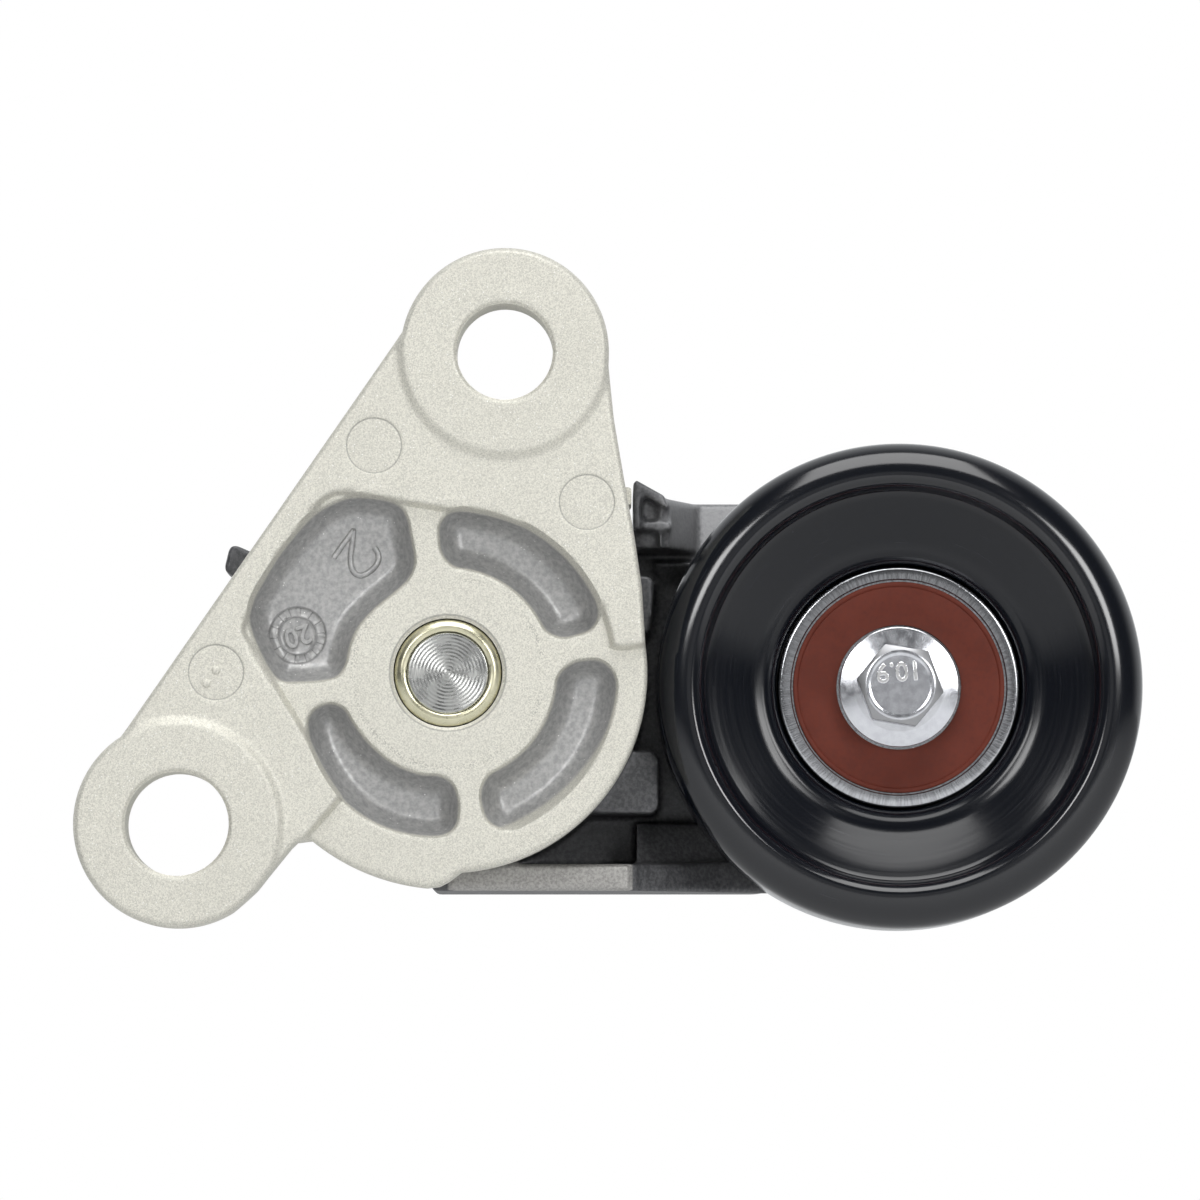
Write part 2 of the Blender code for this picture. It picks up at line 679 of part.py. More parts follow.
def disc_outline():
    """Returns the outline of the hub part: round, wider at lower left, filling the step."""
    points = arc(DISC_RADIUS, NARROW_FROM, DISC_TO)
    corners = inset(STEP_CORNERS, -STEP_OVERLAP)
    points += [(x, z) for x, z, _ in corners[:2]]
    points += arc(BULGE_RADIUS, BULGE_FROM, math.tau + BULGE_TO)
    return points


def ring_pocket(inner, outer, start, end):
    """Returns a pocket outline between two radii, with straight ends and round corners."""
    corners = [(*polar(outer, start), POCKET_CORNER)]
    middle = [(x, z, 0.0) for x, z in arc(outer, start, end)[1:-1]]
    corners += middle
    corners += [(*polar(outer, end), POCKET_CORNER), (*polar(inner, end), POCKET_CORNER)]
    corners += [(x, z, 0.0) for x, z in arc(inner, end, start)[1:-1]]
    corners += [(*polar(inner, start), POCKET_CORNER)]
    return corners


def big_pocket():
    """Returns the corners of the big upper left pocket, which follows the plate's step."""
    edge = inset([(*BIG_POCKET_TOP, 0.0), *STEP_CORNERS], LEDGE)
    top_slope = (edge[0][1] - edge[1][1]) / (edge[0][0] - edge[1][0])
    top_z = edge[1][1] + top_slope * (BIG_POCKET_RIGHT_X - edge[1][0])
    left = Vector(edge[3][:2])
    down = (Vector(edge[4][:2]) - left).normalized()
    bottom = left + down * ((BIG_POCKET_BOTTOM_Z - left.y) / down.y)
    top_fillet, bottom_fillet = BIG_POCKET_CORNERS
    corners = [(BIG_POCKET_RIGHT_X, top_z, top_fillet), edge[1], edge[2], edge[3]]
    corners += [(bottom.x, bottom.y, bottom_fillet), BIG_POCKET_HUB_CORNERS[0]]
    corners += [(x, z, 0.0) for x, z in arc(BIG_POCKET_INNER, *BIG_POCKET_ARC)]
    corners += [BIG_POCKET_HUB_CORNERS[1]]
    return corners


def lower_left_pocket():
    """Returns the corners of the lower left pocket, cut off along the plate's step."""
    edge = inset(STEP_CORNERS[2:], LEDGE)
    top = Vector(edge[0][:2])
    along = (Vector(edge[1][:2]) - top).normalized()
    upper, lower = (top + along * distance for distance in LOW_POCKET_CUT)
    upper_fillet, lower_fillet, end_fillet, hub_fillet = LOW_POCKET_FILLETS
    outer = POCKET_OUTER_RADIUS - LOW_POCKET_SHRINK
    inner = POCKET_INNER_RADIUS - LOW_POCKET_SHRINK
    corners = [(*upper, upper_fillet), (*lower, lower_fillet)]
    corners += [(x, z, 0.0) for x, z in arc(outer, *LOW_POCKET_RIM)]
    corners += [
        (*polar(outer, LOW_POCKET_END[0]), POCKET_CORNER),
        (*polar(inner, LOW_POCKET_END[1]), end_fillet),
    ]
    corners += [(x, z, 0.0) for x, z in arc(POCKET_INNER_RADIUS, *LOW_POCKET_HUB)]
    corners += [(*polar(*LOW_POCKET_HUB_CORNER), hub_fillet)]
    return corners


def pocket_cutter(name, corners, helpers):
    """Makes the cutter of one pocket, with drawn-in walls and a rounded floor."""
    outline = rounded(corners)
    return prism(
        name,
        outline,
        PLATE_Y - OVERRUN,
        POCKET_FLOOR_Y,
        helpers,
        far_fillet=POCKET_FILLET,
        draft=POCKET_DRAFT,
        steps=POCKET_FILLET_STEPS,
    )


def make_bracket(parts, helpers):
    """Makes the die-cast mounting bracket."""
    bracket = prism(
        "mounting_bracket", disc_outline(), DISC_Y, DISC_BACK_Y, parts,
        near_fillet=DISC_FILLET,
    )
    plate = prism(
        "plate", plate_outline(), PLATE_Y, PLATE_BACK_Y, helpers,
        near_fillet=PLATE_FILLET,
    )
    ears = [
        cylinder(
            "ear", radius, 0.0, EAR_THICKNESS, helpers, centre,
            near_fillet=EAR_EDGE_FILLET,
        )
        for centre, radius in ((UPPER_EAR, UPPER_EAR_RADIUS), (LOWER_EAR, LOWER_EAR_RADIUS))
    ]
    join(bracket, plate, *ears, *bracket_back(helpers))
    pockets = [
        pocket_cutter("big_pocket", big_pocket(), helpers),
        pocket_cutter(
            "upper_pocket",
            ring_pocket(UPPER_POCKET_INNER, UPPER_POCKET_OUTER, *UPPER_POCKET_SPAN),
            helpers,
        ),
        pocket_cutter(
            "right_pocket",
            ring_pocket(POCKET_INNER_RADIUS, POCKET_OUTER_RADIUS, *RIGHT_POCKET_SPAN),
            helpers,
        ),
        pocket_cutter("lower_left_pocket", lower_left_pocket(), helpers),
    ]
    cut(bracket, *pockets)
    holes = [
        hole_cutter("upper_hole", UPPER_HOLE_RADIUS, UPPER_EAR, helpers),
        hole_cutter("lower_hole", LOWER_HOLE_RADIUS, LOWER_EAR, helpers),
        pin_hole_cutter(helpers),
    ]
    return cut(bracket, *holes)


def bracket_back(helpers):
    """Makes what stands on the bracket's far side: hub, spring guide, stops and ribs."""
    lower_left, upper_left = plate_edges()
    along = (upper_left - lower_left).normalized()
    inwards = Vector((along.y, -along.x))
    made = [
        cylinder("back_hub", BACK_HUB_RADIUS, DISC_BACK_Y - OVERRUN, BACK_HUB_Y, helpers,
                 steps=HIDDEN_STEPS),
        ring("guide", GUIDE_INNER_RADIUS, GUIDE_OUTER_RADIUS, DISC_BACK_Y - OVERRUN,
             GUIDE_Y, helpers),
        spring_lug("spring_stop", SPRING_START, -1.0, GUIDE_INNER_RADIUS + OVERRUN,
                   COIL_RADIUS + WIRE_DIAMETER / 2, DISC_BACK_Y - OVERRUN,
                   SPRING_NEAR_Y + WIRE_DIAMETER / 2, helpers),
        block("stop_tab", STOP_TAB[0], STOP_TAB[1], STOP_TAB_NEAR_Y, STOP_TAB_FAR_Y,
              STOP_TAB[2], STOP_TAB[3], helpers),
    ]
    start = lower_left + along * BACK_RIB_MARGIN + inwards * BACK_RIB_INSET
    end = upper_left - along * BACK_RIB_MARGIN + inwards * BACK_RIB_INSET
    right_top, right_low = (Vector(point) for point in RIGHT_RIB)
    for name, first, last in (("left_rib", start, end), ("right_rib", right_top, right_low)):
        made.append(wall(name, first, last, BACK_RIB_WIDTH, PLATE_BACK_Y - OVERRUN,
                         BACK_RIB_Y, helpers))
    return made


def wall(name, start, end, width, near_y, far_y, helpers):
    """Makes a straight wall between two points of the XZ plane."""
    along = (end - start).normalized()
    side = Vector((-along.y, along.x)) * width / 2
    outline = [
        tuple(start - side), tuple(end - side), tuple(end + side), tuple(start + side),
    ]
    return prism(name, outline, near_y, far_y, helpers)


def spring_lug(name, angle, side, inner, outer, near_y, far_y, helpers):
    """Makes the lug that a cut end of the spring pushes on, on one side of that end."""
    gap = SPRING_END_GAP / COIL_RADIUS
    start = angle + side * gap
    end = start + side * SPRING_STOP_ANGLE
    outline = arc(outer, start, end) + arc(inner, end, start)
    return prism(name, outline, near_y, far_y, helpers)


def hole_cutter(name, radius, centre, helpers):
    """Makes the cutter of an ear's bolt hole, widened a little at its near edge."""
    profile = [
        (0.0, EAR_THICKNESS + OVERRUN),
        (radius, EAR_THICKNESS + OVERRUN),
        (radius, HOLE_CHAMFER),
        (radius + HOLE_CHAMFER + OVERRUN, -OVERRUN),
        (0.0, -OVERRUN),
    ]
    return turned_solid(name, profile, helpers, centre, 40)


def pin_hole_cutter(helpers):
    """Makes the cutter of the hub's bore and of the countersink for the sleeve's flare."""
    seat = FLARE_RADIUS + SEAT_GAP
    profile = [
        (0.0, BACK_HUB_Y + OVERRUN),
        (BRACKET_BORE_RADIUS, BACK_HUB_Y + OVERRUN),
        (BRACKET_BORE_RADIUS, DISC_Y + FLARE_DEPTH + SEAT_GAP),
        (seat, DISC_Y + FLARE_CROWN + FLARE_LIP + SEAT_GAP),
        (seat, DISC_Y + PIN_HOLE_CHAMFER),
        (seat + PIN_HOLE_CHAMFER + OVERRUN, DISC_Y - OVERRUN),
        (0.0, DISC_Y - OVERRUN),
    ]
    return turned_solid("pin_hole", profile, helpers)


# Pivot


def make_pin_sleeve(parts):
    """Makes the zinc-yellow sleeve, whose near end is flared with a domed face."""
    flare_y = DISC_Y + SEAT_GAP / 2
    edge_y = flare_y + FLARE_CROWN
    profile = [
        (PIN_SLEEVE_OUTER, FRONT_BUSH_FAR_Y),
        (PIN_SLEEVE_OUTER, flare_y + FLARE_DEPTH),
        (FLARE_RADIUS, edge_y + FLARE_LIP),
        (FLARE_RADIUS, edge_y),
        ((FLARE_RADIUS + PIN_SLEEVE_INNER) / 2, flare_y + FLARE_CROWN / 4),
        (PIN_SLEEVE_INNER + PIN_FACE_CHAMFER, flare_y),
        (PIN_SLEEVE_INNER, flare_y + PIN_FACE_CHAMFER),
        (PIN_SLEEVE_INNER, FRONT_BUSH_FAR_Y),
    ]
    return settled(turned("pin_sleeve", profile, parts))


def make_pivot_pin(parts):
    """Makes the pivot pin with its far head."""
    profile = [
        (0.0, PIN_END_Y),
        (PIN_HEAD_RADIUS - PIN_FACE_CHAMFER, PIN_END_Y),
        (PIN_HEAD_RADIUS, PIN_END_Y - PIN_FACE_CHAMFER),
        (PIN_HEAD_RADIUS, PIN_HEAD_Y),
        (PIN_RADIUS, PIN_HEAD_Y),
        (PIN_RADIUS, PIN_FACE_Y + PIN_FACE_CHAMFER),
        (PIN_RADIUS - PIN_FACE_CHAMFER, PIN_FACE_Y),
        (0.0, PIN_FACE_Y),
    ]
    return turned_solid("pivot_pin", profile, parts)


def make_bush(name, flange_near, parts):
    """Makes a flanged plastic bush in the arm's hub, its flange at the near or far end."""
    if flange_near:
        face = HUB_NEAR_Y - SEAT_GAP
        back = face - BUSH_FLANGE
        end = face + BUSH_LENGTH
        profile = [
            (BUSH_OUTER, end), (BUSH_OUTER, face), (BUSH_FLANGE_RADIUS, face),
            (BUSH_FLANGE_RADIUS, back), (BUSH_INNER, back), (BUSH_INNER, end),
        ]
    else:
        face = HUB_FAR_Y + SEAT_GAP
        end = face - BUSH_LENGTH
        profile = [
            (BUSH_FLANGE_RADIUS, FRONT_BUSH_FAR_Y), (BUSH_FLANGE_RADIUS, face),
            (BUSH_OUTER, face), (BUSH_OUTER, end), (BUSH_INNER, end),
            (BUSH_INNER, FRONT_BUSH_FAR_Y),
        ]
    return settled(turned(name, profile, parts, steps=HIDDEN_STEPS))


def make_cover(parts):
    """Makes the pressed cap over the pin's head, seated in the drum's end."""
    outer = COVER_SEAT_RADIUS - RUNNING_GAP
    inner = outer - COVER_WALL
    near = DRUM_FAR_Y - COVER_SEAT_DEPTH + SEAT_GAP
    far = near + COVER_HEIGHT
    profile = [
        (0.0, far),
        (outer - COVER_EDGE, far),
        (outer - COVER_EDGE * 0.3, far - COVER_EDGE * 0.3),
        (outer, far - COVER_EDGE),
        (outer, near),
        (inner, near),
        (inner, far - COVER_EDGE),
        (inner - COVER_EDGE / 2, far - COVER_WALL),
        (0.0, far - COVER_WALL),
    ]
    return turned_solid("front_cover", profile, parts, steps=HIDDEN_STEPS)


# Spring


def spring_turns():
    """Returns how far the spring winds, in radians."""
    return (SPRING_FAR_Y - SPRING_NEAR_Y) / COIL_PITCH * math.tau


def make_spring(parts):
    """Makes the torsion spring, a plain coil whose cut ends push on the two lugs."""
    sweep = spring_turns()
    steps = math.ceil(sweep / math.tau * WIRE_STEPS)
    curve = bpy.data.curves.new("torsion_spring", "CURVE")
    curve.dimensions = "3D"
    curve.bevel_depth = WIRE_DIAMETER / 2
    curve.bevel_resolution = 2
    curve.use_fill_caps = True
    spline = curve.splines.new("POLY")
    spline.points.add(steps)
    for index, point in enumerate(spline.points):
        share = index / steps
        x, z = polar(COIL_RADIUS, SPRING_START + sweep * share)
        y = SPRING_NEAR_Y + (SPRING_FAR_Y - SPRING_NEAR_Y) * share
        point.co = (x, y, z, 1.0)
    obj = bpy.data.objects.new("torsion_spring", curve)
    parts.objects.link(obj)
    return obj


# Arm


def arm_outline():
    """Returns the outline of the arm's web, from the drum to the tip round the pulley bolt."""
    reach = PULLEY_X + ARM_TIP_RADIUS * 1.05
    rise = ARM_TIP_RADIUS * 0.80
    shoulder = PULLEY_X - ARM_SHOULDER_SETBACK
    return rounded(
        [
            (ARM_LEFT_X, ARM_BOTTOM_Z, CAST_FILLET),
            (shoulder + ARM_SHOULDER_LAG, ARM_BOTTOM_Z, ARM_SHOULDER_LOW_FILLET),
            (reach, PULLEY_Z - rise, ARM_TIP_RADIUS * 0.75),
            (reach, PULLEY_Z + rise, ARM_TIP_RADIUS * 0.75),
            (shoulder, ARM_TOP_Z, ARM_SHOULDER_TOP_FILLET),
            (RAMP_LUG_TOP_RIGHT_X, ARM_TOP_Z, CAST_FILLET),
            (ARM_EDGE_X, RAMP_LUG_TOP_Z, RAMP_LUG_CORNER),
            (ARM_EDGE_X, ARM_EDGE_LOW_Z, 0.0),
            (0.0, ARM_EDGE_LOW_Z, 0.0),
        ]
    )


def drum_x(level):
    """Returns where the middle of the drum's wall is at a level of Z."""
    return math.sqrt(DRUM_WALL_MIDDLE**2 - level**2)


def beside_pulley(level):
    """Returns how far right a rib may reach at a level of Z, to stay clear of the pulley."""
    return PULLEY_X - math.sqrt(PULLEY_KEEP_OUT**2 - (level - PULLEY_Z)**2)


def drum_profile():
    """Returns the section of the drum with its end wall and the hub in its middle."""
    return [
        (DRUM_RADIUS, DRUM_FAR_Y - DRUM_CHAMFER),
        (DRUM_RADIUS, DRUM_NEAR_Y),
        (DRUM_INNER, DRUM_NEAR_Y),
        (DRUM_INNER, DRUM_FAR_Y - DRUM_END_WALL),
        (HUB_RADIUS, DRUM_FAR_Y - DRUM_END_WALL),
        (HUB_RADIUS, HUB_NEAR_Y),
        (HUB_BORE_RADIUS, HUB_NEAR_Y),
        (HUB_BORE_RADIUS, HUB_FAR_Y),
        (COVER_SEAT_RADIUS, HUB_FAR_Y),
        (COVER_SEAT_RADIUS, DRUM_FAR_Y),
        (DRUM_RADIUS - DRUM_CHAMFER, DRUM_FAR_Y),
    ]


def ramp_lug(helpers):
    """Makes the hollow three-sided lug that rests on the bracket's stop."""
    outline = rounded(
        [
            (ARM_EDGE_X, RAMP_LUG_BOTTOM_Z, 0.0),
            (RAMP_LUG_RIGHT_X, RAMP_LUG_BOTTOM_Z, CAST_FILLET),
            (RAMP_LUG_RIGHT_X, ARM_TOP_Z, CAST_FILLET),
            (RAMP_LUG_TOP_RIGHT_X, ARM_TOP_Z, CAST_FILLET),
            (ARM_EDGE_X, RAMP_LUG_TOP_Z, RAMP_LUG_CORNER),
        ]
    )
    lug = prism("ramp_lug", outline, RIB_NEAR_Y, WEB_NEAR_Y + OVERRUN, helpers,
                near_fillet=RIB_EDGE, steps=1)
    left = ARM_EDGE_X + RAMP_LUG_WALL * 0.7
    across, up = CORNER_POCKET_SIDES
    rib_top = RAMP_LUG_RIB_Z + RAMP_LUG_CORNER
    rib_low = RAMP_LUG_RIB_Z - RAMP_LUG_CORNER
    corner = prism(
        "corner_pocket",
        rounded([(left, rib_top, RIB_EDGE), (left + across, rib_top, RIB_EDGE),
                 (left, rib_top + up, RIB_EDGE)]),
        RIB_NEAR_Y - OVERRUN, RIB_NEAR_Y + RAMP_POCKET_DEPTH, helpers,
    )
    right = RAMP_LUG_RIGHT_X - RAMP_LUG_WALL
    bottom = RAMP_LUG_BOTTOM_Z - OVERRUN
    lower = prism(
        "lug_pocket",
        rounded([(ARM_EDGE_X - OVERRUN, bottom, 0.0), (right, bottom, RAMP_LUG_CORNER),
                 (right, rib_low, RAMP_LUG_CORNER), (ARM_EDGE_X - OVERRUN, rib_low, 0.0)]),
        RIB_NEAR_Y - OVERRUN, RIB_NEAR_Y + RAMP_POCKET_DEPTH, helpers,
    )
    return cut(lug, corner, lower)


def left_lug(helpers):
    """Makes the small lug that shows past the plate's left edge."""
    along = Vector(polar(1.0, LEFT_LUG_ANGLE))
    side = Vector((-along.y, along.x)) * LEFT_LUG_WIDTH / 2
    foot = along * DRUM_WALL_MIDDLE
    tip = along * LEFT_LUG_RADIUS
    corners = [
        (*(foot - side * LEFT_LUG_ROOT), 0.0), (*(tip - side), CAST_FILLET),
        (*(tip + side - along * LEFT_LUG_TAPER), CAST_FILLET),
        (*(foot + side * LEFT_LUG_ROOT), 0.0),
    ]
    return prism("left_lug", rounded(corners), RIB_NEAR_Y, RIB_NEAR_Y + LEFT_LUG_DEPTH,
                 helpers, near_fillet=RIB_EDGE, steps=1)


def pads(helpers):
    """Makes the two raised pads between the drum and the pulley, and the rib below them."""
    low, top = LOWER_PAD_SPAN
    right = beside_pulley(top)
    lower = rounded([(drum_x(low), low, 0.0), (right, low, PAD_CORNER),
                     (right, top, PAD_CORNER), (drum_x(top), top, 0.0)])
    base, crest = UPPER_PAD_SPAN
    reach = DRUM_RADIUS + UPPER_PAD_REACH
    upper = rounded([(drum_x(base), base, 0.0), (reach, base, CAST_FILLET),
                     (reach + UPPER_PAD_SPREAD, crest, PAD_CORNER),
                     (drum_x(crest), crest, 0.0)])
    back = WEB_NEAR_Y + OVERRUN
    return [
        prism("lower_pad", lower, RIB_NEAR_Y, back, helpers, near_fillet=RIB_EDGE, steps=1),
        prism("upper_pad", upper, RIB_NEAR_Y + UPPER_PAD_DROP, back, helpers,
              near_fillet=RIB_EDGE, steps=1),
        block("lower_rib", LOWER_RIB_X, LOWER_RIB_X + RIB_WALL,
              RIB_NEAR_Y + LOWER_RIB_DROP, back, ARM_BOTTOM_Z + RAIL_HEIGHT - OVERRUN,
              low + OVERRUN, helpers),
    ]


def make_arm(parts, helpers):
    """Makes the die-cast arm: drum, web, rails, ribs, pulley boss and wrench lug."""
    arm = prism("tensioner_arm", arm_outline(), WEB_NEAR_Y, WEB_FAR_Y, parts,
                far_fillet=WEB_FILLET, steps=1)
    drum_fill = cylinder("drum_fill", DRUM_WALL_MIDDLE, WEB_NEAR_Y - OVERRUN,
                         DRUM_FAR_Y + OVERRUN, helpers)
    cut(arm, drum_fill)
    rail_top = ARM_BOTTOM_Z + RAIL_HEIGHT
    rail_right = beside_pulley(rail_top) - RAIL_END_GAP
    extras = [
        wrench_lug(helpers),
        boss(helpers),
        settled(turned("drum", drum_profile(), helpers)),
        ramp_lug(helpers),
        left_lug(helpers),
        block("rail", ARM_LEFT_X, rail_right, RAIL_NEAR_Y, WEB_NEAR_Y + OVERRUN,
              ARM_BOTTOM_Z, rail_top, helpers, CAST_FILLET),
        block("strip", *STRIP_SPAN, RAIL_NEAR_Y - STRIP_RISE, RAIL_NEAR_Y + 2 * OVERRUN,
              ARM_BOTTOM_Z + STRIP_INSET, rail_top - STRIP_INSET, helpers, STRIP_EDGE),
        *pads(helpers),
        block("front_rib", DRUM_RADIUS - DRUM_WALL, PULLEY_X - HEX_LUG_ACROSS / 4,
              WEB_FAR_Y - OVERRUN, WEB_FAR_Y + FRONT_RIB_RISE,
              PULLEY_Z - FRONT_RIB_WIDTH / 2, PULLEY_Z + FRONT_RIB_WIDTH / 2, helpers),
        spring_lug("arm_spring_stop", SPRING_START + spring_turns(), 1.0,
                   COIL_RADIUS - WIRE_DIAMETER / 2, DRUM_INNER + OVERRUN,
                   SPRING_FAR_Y - WIRE_DIAMETER / 2,
                   DRUM_FAR_Y - DRUM_END_WALL + OVERRUN, helpers),
    ]
    join(arm, *extras)
    thread = cylinder("thread", BOLT_SHANK_RADIUS + SEAT_GAP, BEARING_NEAR_Y,
                      BEARING_NEAR_Y + THREAD_DEPTH + PILOT_LENGTH + OVERRUN, helpers,
                      (PULLEY_X, PULLEY_Z), HIDDEN_STEPS)
    return cut(arm, thread)


def boss(helpers):
    """Makes the pulley boss with the pilot that enters the bearing's inner race."""
    shoulder = BEARING_FAR_Y + SEAT_GAP
    pilot = BEARING_BORE / 2 - RUNNING_GAP
    foot = BOSS_RADIUS + BOSS_FOOT
    profile = [
        (0.0, WEB_NEAR_Y + OVERRUN),
        (foot, WEB_NEAR_Y + OVERRUN),
        (foot, WEB_NEAR_Y - SEAT_GAP),
        (BOSS_RADIUS, WEB_NEAR_Y - BOSS_FOOT),
        (INNER_LAND_RADIUS, shoulder + 2 * RACE_CHAMFER),
        (INNER_LAND_RADIUS - RACE_CHAMFER, shoulder),
        (pilot, shoulder),
        (pilot, shoulder - PILOT_LENGTH),
        (0.0, shoulder - PILOT_LENGTH),
    ]
    return turned_solid("boss", profile, helpers, (PULLEY_X, PULLEY_Z), 40)


def wrench_lug(helpers):
    """Makes the cast hexagon on the arm's far side, on which a wrench turns the arm."""
    reach = HEX_LUG_ACROSS / math.sqrt(3)
    return cylinder("wrench_lug", reach, WEB_FAR_Y - OVERRUN, WEB_FAR_Y + HEX_LUG_HEIGHT,
                    helpers, (PULLEY_X, PULLEY_Z), 6, far_fillet=HEX_LUG_CHAMFER)


# Pulley and bearing


def roll(radius, start, end, steps, middle_y):
    """Returns points round the rolled rim's section, from one angle to another."""
    centre = PULLEY_RADIUS - RIM_ROLL_RADIUS
    found = []
    for step in range(steps + 1):
        angle = start + (end - start) * step / steps
        found.append((centre + radius * math.cos(angle), middle_y - radius * math.sin(angle)))
    return found


def pulley_profile():
    """Returns the section of the spun pulley: rolled rim, dished web and hub with its lip."""
    far = PULLEY_NEAR_Y + PULLEY_WIDTH
    roll_y = PULLEY_NEAR_Y + RIM_ROLL_RADIUS
    bore = BEARING_OUTER / 2 + RUNNING_GAP
    wall = bore + PULLEY_SHEET
    web_y = PULLEY_NEAR_Y + WEB_SET_BACK
    web_end_y = web_y + WEB_DISH
    lip_y = BEARING_FAR_Y + SEAT_GAP
    slope = math.atan2(WEB_DISH, WEB_OUTER_RADIUS - WEB_INNER_RADIUS)
    across = PULLEY_SHEET / math.cos(slope)
    mouth = []
    for angle in (0.0, 30.0, 60.0, 90.0):
        turn = math.radians(angle)
        mouth.append(
            (
                WEB_INNER_RADIUS - (WEB_INNER_RADIUS - bore) * math.sin(turn),
                web_end_y + HUB_ROLL_DEPTH * (1.0 - math.cos(turn)),
            )
        )
    near = [(PULLEY_RADIUS, far - RIM_EDGE_CHAMFER)]
    near += roll(RIM_ROLL_RADIUS, 0.0, math.pi, 7, roll_y)
    near += [(WEB_OUTER_RADIUS, web_y), *mouth]
    hub = [
        (bore, lip_y), (bore - HUB_LIP, lip_y), (bore - HUB_LIP, lip_y + HUB_LIP_THICKNESS),
        (wall - HUB_LIP_BEND, lip_y + HUB_LIP_THICKNESS), (wall, lip_y + HUB_LIP_BEND),
        (wall, web_end_y + HUB_ROLL_DEPTH), (WEB_INNER_RADIUS + HUB_HEEL, web_end_y + across),
        (WEB_OUTER_RADIUS, web_y + across),
        (WEB_OUTER_RADIUS + ROLL_BLEND[0], web_y + ROLL_BLEND[1]),
    ]
    back = roll(RIM_ROLL_RADIUS - PULLEY_SHEET, math.pi, 0.0, 3, roll_y)
    back += [(PULLEY_RADIUS - PULLEY_SHEET, far), (PULLEY_RADIUS - RIM_EDGE_CHAMFER, far)]
    return near + hub + back


def groove(side):
    """Returns the points of a raceway, from its near edge to its far one.

    The side is 1 for the outer race, whose groove opens inwards, and -1 for the inner one.
    """
    land = OUTER_LAND_RADIUS if side > 0 else INNER_LAND_RADIUS
    drop = abs(land - BALL_PITCH_RADIUS)
    reach = math.acos(drop / RACEWAY_RADIUS)
    found = []
    steps = 4
    for step in range(steps + 1):
        angle = -reach + 2 * reach * step / steps
        found.append(
            (
                BALL_PITCH_RADIUS + side * RACEWAY_RADIUS * math.cos(angle),
                BEARING_MID_Y + RACEWAY_RADIUS * math.sin(angle),
            )
        )
    return found


def outer_race_profile():
    """Returns the outer race's section, with a seal seat at each face."""
    outer = BEARING_OUTER / 2
    near = BEARING_NEAR_Y
    far = BEARING_FAR_Y
    return [
        (outer, far - RACE_CHAMFER), (outer, near + RACE_CHAMFER),
        (outer - RACE_CHAMFER, near), (SEAL_SEAT_RADIUS, near),
        (SEAL_SEAT_RADIUS, near + SEAL_SEAT_DEPTH), (OUTER_LAND_RADIUS, near + SEAL_SEAT_DEPTH),
        *groove(1.0),
        (OUTER_LAND_RADIUS, far - SEAL_SEAT_DEPTH), (SEAL_SEAT_RADIUS, far - SEAL_SEAT_DEPTH),
        (SEAL_SEAT_RADIUS, far), (outer - RACE_CHAMFER, far),
    ]


def inner_race_profile():
    """Returns the inner race's section, with a narrow land for each seal's lip."""
    bore = BEARING_BORE / 2
    near = BEARING_NEAR_Y
    far = BEARING_FAR_Y
    return [
        (bore, near), (bore, far), (SEAL_LAND_RADIUS, far),
        (SEAL_LAND_RADIUS, far - SEAL_SEAT_DEPTH), (INNER_LAND_RADIUS, far - SEAL_SEAT_DEPTH),
        *reversed(groove(-1.0)),
        (INNER_LAND_RADIUS, near + SEAL_SEAT_DEPTH),
        (SEAL_LAND_RADIUS, near + SEAL_SEAT_DEPTH), (SEAL_LAND_RADIUS, near),
    ]


def make_seal(name, side, parts):
    """Makes a rubber seal with a bead at its edge, on the near (-1) or far (1) side."""
    face = BEARING_MID_Y + side * (BEARING_WIDTH / 2 - SEAL_RECESS)
    back = face - side * SEAL_THICKNESS
    outer = SEAL_SEAT_RADIUS - SEAT_GAP
    inner = SEAL_LAND_RADIUS + SEAT_GAP
    profile = [
        (outer, back), (outer, face + side * SEAL_BEAD_RISE),
        (outer - SEAL_BEAD, face + side * SEAL_BEAD_RISE),
        (outer - SEAL_BEAD - SEAL_BEAD_RISE, face), (inner, face), (inner, back),
    ]
    return settled(turned(name, profile, parts, (PULLEY_X, PULLEY_Z), ROUND_STEPS))


def make_cage(parts, helpers):
    """Makes the crown cage: a ring with a pocket for each ball, open on the near side."""
    far = BEARING_FAR_Y - SEAL_SEAT_DEPTH + CAGE_BACK_GAP
    cage = ring("bearing_cage", CAGE_INNER_RADIUS, CAGE_OUTER_RADIUS,
                BEARING_NEAR_Y + CAGE_NEAR, far, parts, (PULLEY_X, PULLEY_Z), ROUND_STEPS)
    pockets = []
    for index in range(BALL_COUNT):
        angle = math.tau * index / BALL_COUNT
        bm = bmesh.new()
        place = (
            Matrix.Translation((PULLEY_X, BEARING_MID_Y, PULLEY_Z))
            @ Matrix.Rotation(-angle, 4, "Y")
            @ Matrix.Translation((BALL_PITCH_RADIUS, 0.0, 0.0))
            @ Matrix.Rotation(math.pi / 2, 4, "Y")
        )
        bmesh.ops.create_cone(
            bm, cap_ends=True, segments=12, radius1=BALL_DIAMETER / 2 + CAGE_POCKET_GAP,
            radius2=BALL_DIAMETER / 2 + CAGE_POCKET_GAP,
            depth=2 * (CAGE_OUTER_RADIUS - CAGE_INNER_RADIUS + OVERRUN), matrix=place,
        )
        pockets.append(object_from("pocket", bm, helpers))
    return cut(cage, *pockets)


